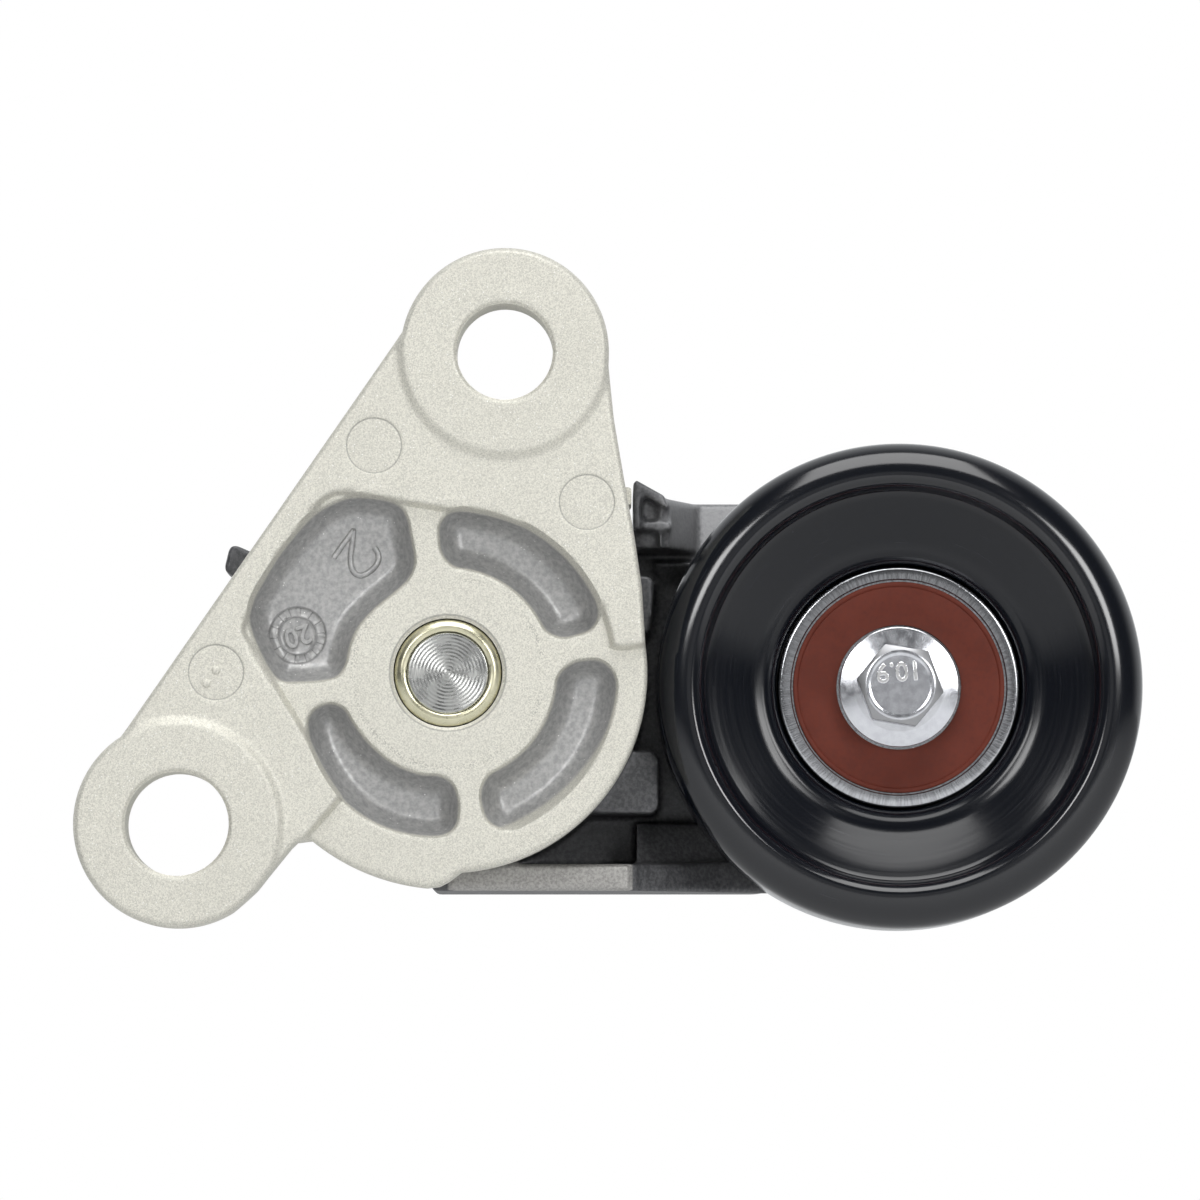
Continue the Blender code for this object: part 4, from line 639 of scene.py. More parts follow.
def distance(places: np.ndarray, loop: Loop) -> np.ndarray:
    """Measures how far places lie inside a closed outline.

    Args:
        places: an array of (x, z).
        loop: the outline's points.

    Returns:
        The distance to the outline, above 0 inside it and below 0 outside.
    """
    nearest = np.full(len(places), 1e9)
    inside = np.zeros(len(places), dtype=bool)
    for (x0, z0), (x1, z1) in zip(loop, np.roll(loop, -1, axis=0)):
        side = np.array([x1 - x0, z1 - z0])
        length = float(side @ side)
        if length < 1e-12:
            continue
        away = places - (x0, z0)
        share = np.clip(away @ side / length, 0.0, 1.0)
        gap = away - share[:, None] * side
        nearest = np.minimum(nearest, np.einsum("ij,ij->i", gap, gap))
        if z0 != z1:
            crosses = (places[:, 1] > z0) != (places[:, 1] > z1)
            at = x0 + (places[:, 1] - z0) * (x1 - x0) / (z1 - z0)
            inside ^= crosses & (places[:, 0] < at)
    return np.sqrt(nearest) * np.where(inside, 1.0, -1.0)


def from_centre(places: np.ndarray, centre: Point) -> np.ndarray:
    """Returns how far places lie from a centre."""
    return np.hypot(places[:, 0] - centre[0], places[:, 1] - centre[1])


def ease(value: np.ndarray, low: float, high: float) -> np.ndarray:
    """Returns a soft step from 0 at low to 1 at high."""
    share = np.clip((value - low) / (high - low), 0.0, 1.0)
    return share * share * (3.0 - 2.0 * share)


def fade(value: np.ndarray, low: float, high: float) -> np.ndarray:
    """Returns a soft step from 1 at low to 0 at high."""
    return 1.0 - ease(value, low, high)


def crease(away: np.ndarray, radius: float, width: float) -> np.ndarray:
    """Returns a thin bell of height 1 along a circle."""
    return np.exp(-(((away - radius) / width) ** 2))


def bend(places: np.ndarray, outline: Loop, radius: float) -> np.ndarray:
    """Returns how far a round edge falls away towards an outline."""
    inside = np.clip(distance(places, outline), 0.0, radius)
    return radius - np.sqrt(np.maximum(radius**2 - (radius - inside) ** 2, 0.0))


# Meshes


def linked(name: str, data: bpy.types.ID | None) -> bpy.types.Object:
    """Puts data into the scene as a new object."""
    obj = bpy.data.objects.new(name, data)
    bpy.context.scene.collection.objects.link(obj)
    return obj


def evaluated(obj: bpy.types.Object) -> bpy.types.Mesh:
    """Returns a new mesh of what an object's curve or modifiers make."""
    bpy.context.view_layer.update()
    graph = bpy.context.evaluated_depsgraph_get()
    return bpy.data.meshes.new_from_object(obj.evaluated_get(graph))


def baked(obj: bpy.types.Object) -> bpy.types.Object:
    """Turns an object's modifiers into its mesh, and removes them."""
    old, mesh = obj.data, evaluated(obj)
    obj.modifiers.clear()
    obj.data = mesh
    bpy.data.meshes.remove(old)
    return obj


def from_curve(curve: bpy.types.Curve, material: bpy.types.Material) -> bpy.types.Object:
    """Returns the mesh object that a curve or a text makes."""
    guide = linked(curve.name, curve)
    mesh = evaluated(guide)
    bpy.data.objects.remove(guide, do_unlink=True)
    mesh.materials.clear()
    mesh.materials.append(material)
    return linked(curve.name, mesh)


def mesh_object(name: str, points: np.ndarray, faces: Sequence[Sequence[int]],
                material: bpy.types.Material, sharp: float = 35.0) -> bpy.types.Object:
    """Makes a mesh object from points in millimetres.

    Args:
        name: the piece's name.
        points: its points, in millimetres.
        faces: its faces, as lists of point numbers.
        material: its material.
        sharp: the angle in degrees past which an edge stays sharp.

    Returns:
        The object, at the origin.
    """
    mesh = bpy.data.meshes.new(name)
    mesh.from_pydata((np.asarray(points) * MM).tolist(), [], [list(f) for f in faces])
    mesh.validate()
    bm = bmesh.new()
    bm.from_mesh(mesh)
    bmesh.ops.recalc_face_normals(bm, faces=bm.faces)
    bm.to_mesh(mesh)
    bm.free()
    mesh.materials.append(material)
    mesh.shade_smooth()
    mesh.set_sharp_from_angle(angle=math.radians(sharp))
    return linked(name, mesh)


def band(first: int, second: int, size: int) -> list[tuple[int, ...]]:
    """Returns the faces between two closed rings of points, given each ring's first number."""
    return [(first + n, first + (n + 1) % size, second + (n + 1) % size, second + n)
            for n in range(size)]


def loft(name: str, rings: Sequence[np.ndarray], material: bpy.types.Material,
         sharp: float = 35.0) -> bpy.types.Object:
    """Joins rings of as many points into a closed solid.

    Args:
        name: the piece's name.
        rings: each ring's (x, y, z) points.
        material: its material.
        sharp: the angle in degrees past which an edge stays sharp.

    Returns:
        The object.
    """
    size = len(rings[0])
    last = size * (len(rings) - 1)
    faces: list[Sequence[int]] = [range(size), range(last + size - 1, last - 1, -1)]
    for start in range(0, last, size):
        faces += band(start, start + size, size)
    return mesh_object(name, np.vstack(rings), faces, material, sharp)


def prism(name: str, outline: Sequence[Point], near: float | Sequence[float], far: float,
          material: bpy.types.Material) -> bpy.types.Object:
    """Makes a solid from an outline between two levels of Y, the near one flat or a slope."""
    flat = np.array(outline)
    rings = [np.column_stack([flat[:, 0], np.broadcast_to(level, len(flat)), flat[:, 1]])
             for level in (near, far)]
    return loft(name, rings, material)


def lathe(name: str, profile: Sequence[Point], axis: Point, material: bpy.types.Material,
          steps: int = 160, sharp: float = 35.0) -> bpy.types.Object:
    """Turns a section about an axis along Y.

    Args:
        name: the piece's name.
        profile: (radius, y) points, closed, or from the axis and back to it.
        axis: the axis's X and Z.
        material: its material.
        steps: facets round the turn.
        sharp: the angle in degrees past which an edge stays sharp.

    Returns:
        The object.
    """
    points: list[tuple[float, float, float]] = []
    rings: list[Sequence[int]] = []
    for radius, y in profile:
        first = len(points)
        if radius < 1e-6:
            rings.append([first] * steps)
            points.append((axis[0], y, axis[1]))
            continue
        rings.append(range(first, first + steps))
        points += [(axis[0] + radius * math.cos(turn), y, axis[1] + radius * math.sin(turn))
                   for turn in np.linspace(0.0, math.tau, steps, endpoint=False)]
    faces: list[list[int]] = []
    for here, there in zip(rings, rings[1:] + rings[:1]):
        for index in range(steps):
            after = (index + 1) % steps
            face = list(dict.fromkeys((here[index], here[after], there[after], there[index])))
            if len(face) > 2:
                faces.append(face)
    return mesh_object(name, np.array(points), faces, material, sharp)


def joined(name: str, pieces: Sequence[bpy.types.Object]) -> bpy.types.Object:
    """Puts the meshes of several objects into the first and gives it a name."""
    first, *others = pieces
    bm = bmesh.new()
    for piece in pieces:
        bm.from_mesh(piece.data)
    bm.to_mesh(first.data)
    bm.free()
    for piece in others:
        bpy.data.objects.remove(piece, do_unlink=True)
    first.name = first.data.name = name
    return first


def cast_solid(obj: bpy.types.Object, voxel: float, passes: int, keep: float) -> None:
    """Merges overlapping solids into one skin with the soft edges of a casting.

    Args:
        obj: the object that holds the solids.
        voxel: the grid's step in millimetres.
        passes: how often the skin is smoothed.
        keep: the share of faces kept.
    """
    material = obj.data.materials[0]
    remesh = obj.modifiers.new("Skin", "REMESH")
    remesh.mode = "VOXEL"
    remesh.voxel_size = voxel * MM
    smooth = obj.modifiers.new("Soften", "SMOOTH")
    smooth.factor = 0.5
    smooth.iterations = passes
    obj.modifiers.new("Thin", "DECIMATE").ratio = keep
    baked(obj)
    obj.data.materials.clear()
    obj.data.materials.append(material)
    obj.data.shade_smooth()
    obj.data.set_sharp_from_angle(angle=math.radians(50.0))


def lettering(name: str, text: str, place: tuple[float, float, float], turn: float,
              depth: float, material: bpy.types.Material) -> bpy.types.Object:
    """Makes raised characters that face the camera.

    Args:
        name: the piece's name.
        text: the characters.
        place: the middle's X, Y and Z.
        turn: how far they are turned in the plane, in degrees.
        depth: how far they stand out.
        material: their material.

    Returns:
        The object.
    """
    curve = bpy.data.curves.new(name, "FONT")
    curve.body = text
    curve.size = LETTER_HEIGHT * MM * 1.42
    curve.align_x = curve.align_y = "CENTER"
    curve.extrude = depth * MM
    curve.bevel_depth = 0.13 * MM
    curve.bevel_resolution = 2
    curve.resolution_u = 4
    obj = from_curve(curve, material)
    obj.data.transform(Matrix.Translation(Vector(place) * MM)
                       @ Matrix.Rotation(math.pi / 2, 4, "X")
                       @ Matrix.Rotation(math.radians(turn), 4, "Z"))
    return obj


def seat(obj: bpy.types.Object, body: Body, slot: Slot, *nodes: str) -> None:
    """Hangs a finished piece on its body and hides the nodes that it stands for.

    Args:
        obj: the piece.
        body: the body that it rides on.
        slot: the record's slot that its finish belongs to; not used.
        *nodes: the nodes that it replaces.
    """
    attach(obj, body.value)
    if nodes:
        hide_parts(*nodes)
    LOG.info("%s rides on %s with %d faces", obj.name, body.value, len(obj.data.polygons))


# Sub-assemblies


@dataclass
class Assembly:
    """Pieces that are built together out of one set of finishes."""

    finishes: Finishes


@dataclass(frozen=True)
class Ear:
    """A bolt ear: its centre, its round outline and its hole."""

    centre: Point
    radius: float
    hole: float


@dataclass
class Relief:
    """One side of a casting: a height for every place, and where it needs fine points."""

    height: Callable[[np.ndarray], np.ndarray]
    lines: list[tuple]
    grid: float


@dataclass
class Bracket(Assembly):
    """The die-cast bracket with its two ears, stepped plate, hub, spokes and pockets."""

    ears: tuple[Ear, Ear] = (Ear((9.3, 52.6), 17.1, 7.9), Ear((-44.25, -24.8), 17.0, 8.5))
    pin_hole: float = 8.95
    plate_edge: float = 15.7
    rim: float = 1.0
    plate_y: float = 1.0
    disc_y: float = 3.0
    floor_y: float = 9.0
    back_y: float = 9.5
    wall: float = 3.9
    dial_radius: float = 4.66
    bead: float = 0.52
    numeral: tuple[Point, ...] = (
        (-12.2, 20.9), (-11.3, 19.7), (-11.8, 18.0), (-13.2, 16.7), (-14.7, 16.1),
        (-15.9, 17.1), (-16.2, 19.2), (-15.8, 21.6), (-15.65, 23.6), (-15.65, 23.7),
        (-17.25, 21.6), (-18.9, 19.2))

    def silhouette(self) -> Loop:
        """Returns the bracket's outline."""
        upper, lower = self.ears
        along = (Vector(upper.centre) - Vector(lower.centre)).normalized()
        out = Vector((-along.y, along.x)) * self.plate_edge
        leave = []
        for ear, side in ((upper, -1.0), (lower, 1.0)):
            way = out + along * side * math.sqrt(ear.radius**2 - self.plate_edge**2)
            leave.append(math.degrees(math.atan2(way.y, way.x)))
        points = arc(32.7, -86.0, 8.6)
        points += rounded([(32.33, 5.2, 0.0), (31.8, 14.0, 20.0), (30.6, 22.2, 20.0),
                           (29.2, 29.9, 30.0), (27.2, 41.6, 30.0), (26.33, 50.2, 0.0)])
        points += arc(upper.radius, -5.0, leave[0], upper.centre)
        points += arc(lower.radius, leave[1], 302.0, lower.centre)
        points += rounded([(-34.6, -38.6, 0.0), (-31.2, -35.6, 3.0), (-25.6, -28.7, 1.6),
                           (-23.6, -26.8, 0.8)])[1:]
        points += arc(35.4, 231.0, 264.5)
        points += [(-1.4, -35.0), (0.2, -34.2)]
        return resampled(points, 0.42)

    def recess(self) -> Loop:
        """Returns the area that lies lower than the raised plate."""
        edge = [(60.0, 4.6), (32.6, 4.75), (28.4, 4.3)]
        edge += arc(27.6, 9.4, 62.0)
        edge += rounded([(12.6, 24.9, 0.0), (6.3, 25.9, 20.0), (-19.6, 30.2, 5.5),
                         (-28.4, 18.9, 12.0), (-34.1, 7.2, 3.2), (-17.5, -20.1, 0.7),
                         (-24.6, -28.0, 0.0)])[1:-1]
        edge += [(-23.9, -27.3), (-40.0, -60.0), (60.0, -60.0)]
        return resampled(edge, 0.45)

    def pockets(self) -> list[Loop]:
        """Returns the outlines of the four pockets at the level of the spokes."""
        big = flowing([(-20.5, 26.9), (-16.1, 28.7), (-11.1, 28.6), (-8.2, 27.5), (-6.8, 25.6),
                       (-6.1, 22.3), (-5.5, 18.4), (-6.4, 15.7), (-8.7, 13.4), (-12.2, 10.5),
                       (-14.9, 7.4), (-16.2, 4.3), (-16.8, 1.6), (-18.2, -0.5), (-20.8, -1.2),
                       (-24.4, -1.4), (-27.1, -1.3), (-28.9, 0.2), (-31.0, 4.1), (-32.5, 8.3),
                       (-32.2, 11.7), (-30.6, 14.9), (-27.3, 19.9), (-24.0, 23.9)])
        upper = self.ring_pocket(17.4, 27.0, 16.6, 93.6, 3.9)
        right = self.ring_pocket(17.9, 27.7, -75.4, 5.2, 4.3)
        low = flowing([(-22.8, -9.7), (-22.7, -7.3), (-21.3, -5.7), (-19.1, -5.1),
                       (-17.0, -6.0), (-15.4, -8.5), (-13.0, -11.6), (-9.2, -14.8),
                       (-4.8, -16.6), (-1.2, -17.0), (0.9, -18.6), (1.7, -21.7), (1.2, -25.0),
                       (-1.2, -26.6), (-5.9, -26.4), (-10.5, -25.1), (-14.5, -22.9),
                       (-17.8, -19.9), (-20.4, -16.1), (-22.1, -12.5)])
        return [resampled(loop, 0.4) for loop in (big, upper, right, low)]

    @staticmethod
    def ring_pocket(inner: float, outer: float, start: float, end: float,
                    fillet: float) -> list[Point]:
        """Returns a pocket between two radii and two angles, with evenly round corners."""
        middle, half = (inner + outer) / 2, (outer - inner) / 2
        first, last = math.radians(start) * middle, math.radians(end) * middle
        box = rounded([(-half, first, fillet), (half, first, fillet), (half, last, fillet),
                       (-half, last, fillet)])
        return [((middle + u) * math.cos(v / middle), (middle + u) * math.sin(v / middle))
                for u, v in resampled(box, 0.5)]

    def front(self) -> Relief:
        """Returns the relief of the side towards the engine."""
        outline, recess, pockets = self.silhouette(), self.recess(), self.pockets()

        def height(places: np.ndarray) -> np.ndarray:
            """Returns the Y of the near side."""
            step = ease(distance(places, recess), -0.3, 0.75)
            level = self.plate_y + (self.disc_y - self.plate_y) * step
            for ear in self.ears:
                away = from_centre(places, ear.centre)
                level *= ease(away, ear.radius - 0.9, ear.radius + 0.9)
            for pocket in pockets:
                deep = distance(places, pocket)
                share = np.clip((deep + 0.5) / (self.wall + 0.5), 0.0, 1.0)
                sunk = (1.0 - (1.0 - share) ** 2.2) * ease(deep, -0.8, 0.5)
                level += sunk * (self.floor_y - level)
            for spot in MARKS:
                away = from_centre(places, spot)
                level += 0.12 * fade(away, MARK_RADIUS - 0.25, MARK_RADIUS)
                level += 0.14 * crease(away, MARK_RADIUS, 0.17)
            away = from_centre(places, PIVOT_AXIS)
            level += 0.02 * crease(away, HUB_LINE, 0.25)
            level += 0.45 * fade(away, self.pin_hole, self.pin_hole + 0.6)
            away = from_centre(places, DIAL)
            level += 0.30 * fade(away, self.dial_radius - 0.3, self.dial_radius)
            level -= 0.30 * crease(away, DIAL_LINE, 0.22)
            for ear in self.ears:
                away = from_centre(places, ear.centre)
                level += 0.5 * fade(away, ear.hole, ear.hole + 0.55)
            return level + bend(places, outline, self.rim)

        apart = np.max([distance(recess, pocket) for pocket in pockets], axis=0)
        lines = [(outline, (0.06, 0.2, 0.42, 0.7, 1.0)),
                 (recess, (-0.45, -0.15, 0.15, 0.45, 0.75, 1.0), apart < -1.1)]
        lines += [(pocket, (-0.8, -0.4, -0.1, 0.2, 0.5, 0.85, 1.25, 1.7, 2.2, 2.7, 3.2, 3.7))
                  for pocket in pockets]
        lines += [(circle(MARK_RADIUS, spot, 0.3), (-0.35, -0.17, 0.0, 0.17, 0.35))
                  for spot in MARKS]
        lines += [(circle(radius, centre, 0.35), (-0.25, -0.1, 0.1, 0.25)) for radius, centre in (
            (self.dial_radius, DIAL), (DIAL_LINE, DIAL), (HUB_LINE, PIVOT_AXIS),
            (self.pin_hole + 0.35, PIVOT_AXIS))]
        lines += [(circle(ear.radius, ear.centre), (-0.9, -0.45, 0.0, 0.45, 0.9))
                  for ear in self.ears]
        lines += [(circle(ear.hole, ear.centre), (-0.15, -0.35, -0.6)) for ear in self.ears]
        return Relief(height, lines, 0.75)

    def back(self) -> Relief:
        """Returns the relief of the side towards the arm."""
        outline = self.silhouette()
        hub = resampled(arc(32.4, -86.0, 112.0) + [(-22.3, 31.6), (-30.0, 20.9)]
                        + arc(35.2, 165.0, 264.0), 0.8)
        up, low = (Vector(ear.centre) for ear in self.ears)
        along = (up - low).normalized()
        edge = Vector((-along.y, along.x)) * (self.plate_edge - 1.6)
        walls = []
        for start, end in ((low + edge + along * 12.0, up + edge - along * 12.0),
                           (Vector((21.8, 44.6)), Vector((28.6, 20.5)))):
            side = (end - start).normalized()
            side = Vector((-side.y, side.x)) * 1.7
            walls.append(resampled([tuple(start - side), tuple(end - side),
                                    tuple(end + side), tuple(start + side)], 0.8))
        stop = resampled(arc(26.4, 172.0, 183.0) + arc(18.8, 183.0, 172.0), 0.6)

        def height(places: np.ndarray) -> np.ndarray:
            """Returns the Y of the far side."""
            away = from_centre(places, PIVOT_AXIS)
            rises = [2.5 * ease(distance(places, hub), -0.2, 0.3),
                     2.5 + 4.5 * fade(away, 11.7, 12.1) - 3.0 * (away > 13.0),
                     10.5 * ease(away, 17.7, 18.0) * fade(away, 20.6, 21.0),
                     7.8 * ease(distance(places, stop), -0.1, 0.3)]
            rises += [3.0 * ease(distance(places, wall), -0.15, 0.4) for wall in walls]
            rises += [3.5 * fade(from_centre(places, ear.centre), ear.radius - 0.5,
                                 ear.radius + 0.2) for ear in self.ears]
            return self.back_y + np.max(rises, axis=0) - bend(places, outline, 0.5)

        lines = [(outline, (0.15, 0.5)), (hub, (-0.25, 0.05, 0.35)), (stop, (-0.1, 0.3))]
        lines += [(wall, (-0.15, 0.15, 0.45)) for wall in walls]
        lines += [(circle(radius, pace=0.8), (-0.35, -0.1, 0.1, 0.35))
                  for radius in (12.0, 17.8, 20.9)]
        lines += [(circle(ear.radius, ear.centre, 0.8), (-0.2, 0.1, 0.5)) for ear in self.ears]
        return Relief(height, lines, 1.6)

    @staticmethod
    def spread(relief: Relief, loops: list[Loop]) -> np.ndarray:
        """Spreads points over one side, in rows along its fine lines and on a grid elsewhere.

        Args:
            relief: the side's heights and the lines that need fine points.
            loops: the outline, then the holes.

        Returns:
            The points that lie clear of the loops, no two in one cell.
        """
        low, high = loops[0].min(axis=0), loops[0].max(axis=0)
        grid_x, grid_z = np.meshgrid(np.arange(low[0], high[0], relief.grid),
                                     np.arange(low[1], high[1], relief.grid * math.sqrt(3) / 2))
        grid_x[1::2] += relief.grid / 2
        free = [np.column_stack([grid_x.ravel(), grid_z.ravel()])]
        keep_off = np.full(len(free[0]), 1e9)
        for line, offsets, *where in relief.lines:
            chosen = where[0] if where else np.ones(len(line), dtype=bool)
            keep_off = np.minimum(keep_off, np.abs(distance(free[0], line)))
            along = np.roll(line, -1, axis=0) - np.roll(line, 1, axis=0)
            along /= np.linalg.norm(along, axis=1)[:, None]
            area = np.sum(line[:, 0] * np.roll(line[:, 1], -1)
                          - line[:, 1] * np.roll(line[:, 0], -1))
            inwards = np.column_stack([-along[:, 1], along[:, 0]]) * np.sign(area)
            for offset in offsets:
                moved = line + inwards * offset
                true = np.abs(distance(moved, line) - offset) < 0.03
                free.append(moved[true & chosen])
        free[0] = free[0][keep_off > relief.grid * 0.45]
        loose = np.vstack(free)
        room = np.min([distance(loose, loops[0]),
                       *(-distance(loose, hole) for hole in loops[1:])], axis=0)
        loose = loose[room > 0.05]
        cell = np.round(loose / 0.14).astype(np.int64)
        _, first = np.unique(cell, axis=0, return_index=True)
        return loose[np.sort(first)]

    def surface(self, relief: Relief,
                loops: list[Loop]) -> tuple[np.ndarray, list[tuple[int, ...]]]:
        """Meshes one side of the casting.

        Args:
            relief: the side's heights and the lines that need fine points.
            loops: the outline, then the holes.

        Returns:
            The points, the loops' own first, and the triangles.
        """
        fixed = np.vstack(loops)
        flat = np.vstack([fixed, self.spread(relief, loops)])
        edges: list[tuple[int, int]] = []
        for loop in loops:
            start, count = len(edges), len(loop)
            edges += [(start + i, start + (i + 1) % count) for i in range(count)]
        made = delaunay_2d_cdt([Vector(p) for p in flat.tolist()], edges, [], 0, 1e-5)
        places = np.array([tuple(vert) for vert in made[0]])
        faces = np.array([tuple(face) for face in made[2]])
        middle = places[faces].mean(axis=1)
        kept = distance(middle, loops[0]) > 0
        for hole in loops[1:]:
            kept &= distance(middle, hole) < 0
        number = {source: index for index, sources in enumerate(made[3]) for source in sources}
        order = [number[index] for index in range(len(fixed))]
        own = set(order)
        order += [index for index in range(len(places)) if index not in own]
        rank = {old: new for new, old in enumerate(order)}
        places = places[order]
        triangles = [tuple(rank[int(corner)] for corner in face) for face in faces[kept]]
        return np.column_stack([places[:, 0], relief.height(places), places[:, 1]]), triangles

    def skin(self) -> bpy.types.Object:
        """Builds both sides and the walls between them."""
        loops = [self.silhouette(), *(circle(ear.hole, ear.centre) for ear in self.ears),
                 circle(self.pin_hole)]
        near, faces = self.surface(self.front(), loops)
        far, far_faces = self.surface(self.back(), loops)
        count, start = len(near), 0
        faces += [tuple(count + corner for corner in reversed(face)) for face in far_faces]
        for loop in loops:
            faces += band(start, count + start, len(loop))
            start += len(loop)
        return mesh_object("skin", np.vstack([near, far]), faces, self.finishes.cast, 50.0)

    def numeral_stroke(self) -> bpy.types.Object:
        """Returns the numeral of the mould: a round bead in the big pocket."""
        curve = bpy.data.curves.new("numeral", "CURVE")
        curve.dimensions = "3D"
        curve.bevel_depth = self.bead * MM
        curve.bevel_resolution = 2
        curve.use_fill_caps = True
        spline = curve.splines.new("NURBS")
        spline.points.add(len(self.numeral) - 1)
        for point, (x, z) in zip(spline.points, self.numeral):
            point.co = (x * MM, (self.floor_y + 0.05) * MM, z * MM, 1.0)
        spline.use_endpoint_u = True
        spline.order_u = 3
        obj = from_curve(curve, self.finishes.cast)
        obj.data.shade_smooth()
        return obj

    def cast_marks(self) -> list[bpy.types.Object]:
        """Returns the raised marks of the mould: the numeral, the dial, its ticks and two pips."""
        finish, floor = self.finishes.cast, self.floor_y + 0.22
        pip = [(0.0, 1.25), (0.75, 1.25), (0.7, 0.95), (0.4, 0.8), (0.0, 0.77)]
        x, z = MARKS[2]
        return [self.numeral_stroke(),
                lettering("dial_digits", "20", (DIAL[0], floor, DIAL[1]), 196.0, 0.42, finish),
                DialTicks(floor, finish).build(),
                lathe("pip", pip, (x, z + 0.4), finish, 20),
                lathe("pip", pip, (x - 1.6, z - 1.75), finish, 20)]

    def seat(self) -> None:
        """Builds the bracket and puts it on the base."""
        stop = prism("stop", rounded([(26.2, 27.7, 0.3), (30.1, 27.7, 0.5), (30.1, 30.6, 0.5),
                                      (26.2, 30.6, 0.3)]), 5.0, 19.5, self.finishes.cast)
        seat(joined("bracket_casting", [self.skin(), stop, *self.cast_marks()]),
             Body.BASE, Slot.CAST, "mounting_bracket")


@dataclass
class DialTicks:
    """The ring of short bars on the date dial, laid round a circle by Geometry Nodes."""

    floor: float
    finish: bpy.types.Material
    radius: float = 3.9
    count: int = 12
    bar: tuple[float, float, float] = (1.2, 0.34, 0.40)

    def tree(self) -> bpy.types.GeometryNodeTree:
        """Returns the node tree, with inputs for the circle and the bars."""
        tree = bpy.data.node_groups.new("dial_ticks", "GeometryNodeTree")
        face = tree.interface
        face.new_socket("Geometry", in_out="OUTPUT", socket_type="NodeSocketGeometry")
        for name, kind in (("Count", "Int"), ("Radius", "Float"), ("Bar", "Vector"),
                           ("Place", "Vector"), ("Finish", "Material")):
            face.new_socket(name, in_out="INPUT", socket_type=f"NodeSocket{kind}")
        node = tree.nodes.new
        given, result = node("NodeGroupInput"), node("NodeGroupOutput")
        ring, bar = node("GeometryNodeMeshCircle"), node("GeometryNodeMeshCube")
        scatter = node("GeometryNodeInstanceOnPoints")
        aim, spot = node("FunctionNodeAlignEulerToVector"), node("GeometryNodeInputPosition")
        real, paint = node("GeometryNodeRealizeInstances"), node("GeometryNodeSetMaterial")
        move = node("GeometryNodeTransform")
        move.inputs["Rotation"].default_value = (math.pi / 2, 0.0, 0.0)
        for source, output, target, socket in (
            (given, "Count", ring, "Vertices"), (given, "Radius", ring, "Radius"),
            (given, "Bar", bar, "Size"), (ring, "Mesh", scatter, "Points"),
            (bar, "Mesh", scatter, "Instance"), (spot, "Position", aim, "Vector"),
            (aim, "Rotation", scatter, "Rotation"), (scatter, "Instances", real, "Geometry"),
            (real, "Geometry", move, "Geometry"), (given, "Place", move, "Translation"),
            (move, "Geometry", paint, "Geometry"), (given, "Finish", paint, "Material"),
            (paint, "Geometry", result, "Geometry"),
        ):
            tree.links.new(source.outputs[output], target.inputs[socket])
        return tree

    def build(self) -> bpy.types.Object:
        """Runs the tree and returns the bars as a plain mesh."""
        obj = linked("dial_ticks", bpy.data.meshes.new("dial_ticks"))
        modifier = obj.modifiers.new("Ticks", "NODES")
        modifier.node_group = self.tree()
        values = {"Count": self.count, "Radius": self.radius * MM,
                  "Bar": [side * MM for side in self.bar],
                  "Place": [DIAL[0] * MM, self.floor * MM, DIAL[1] * MM],
                  "Finish": self.finish}
        for item in modifier.node_group.interface.items_tree:
            if item.in_out == "INPUT":
                modifier[item.identifier] = values[item.name]
        return baked(obj)


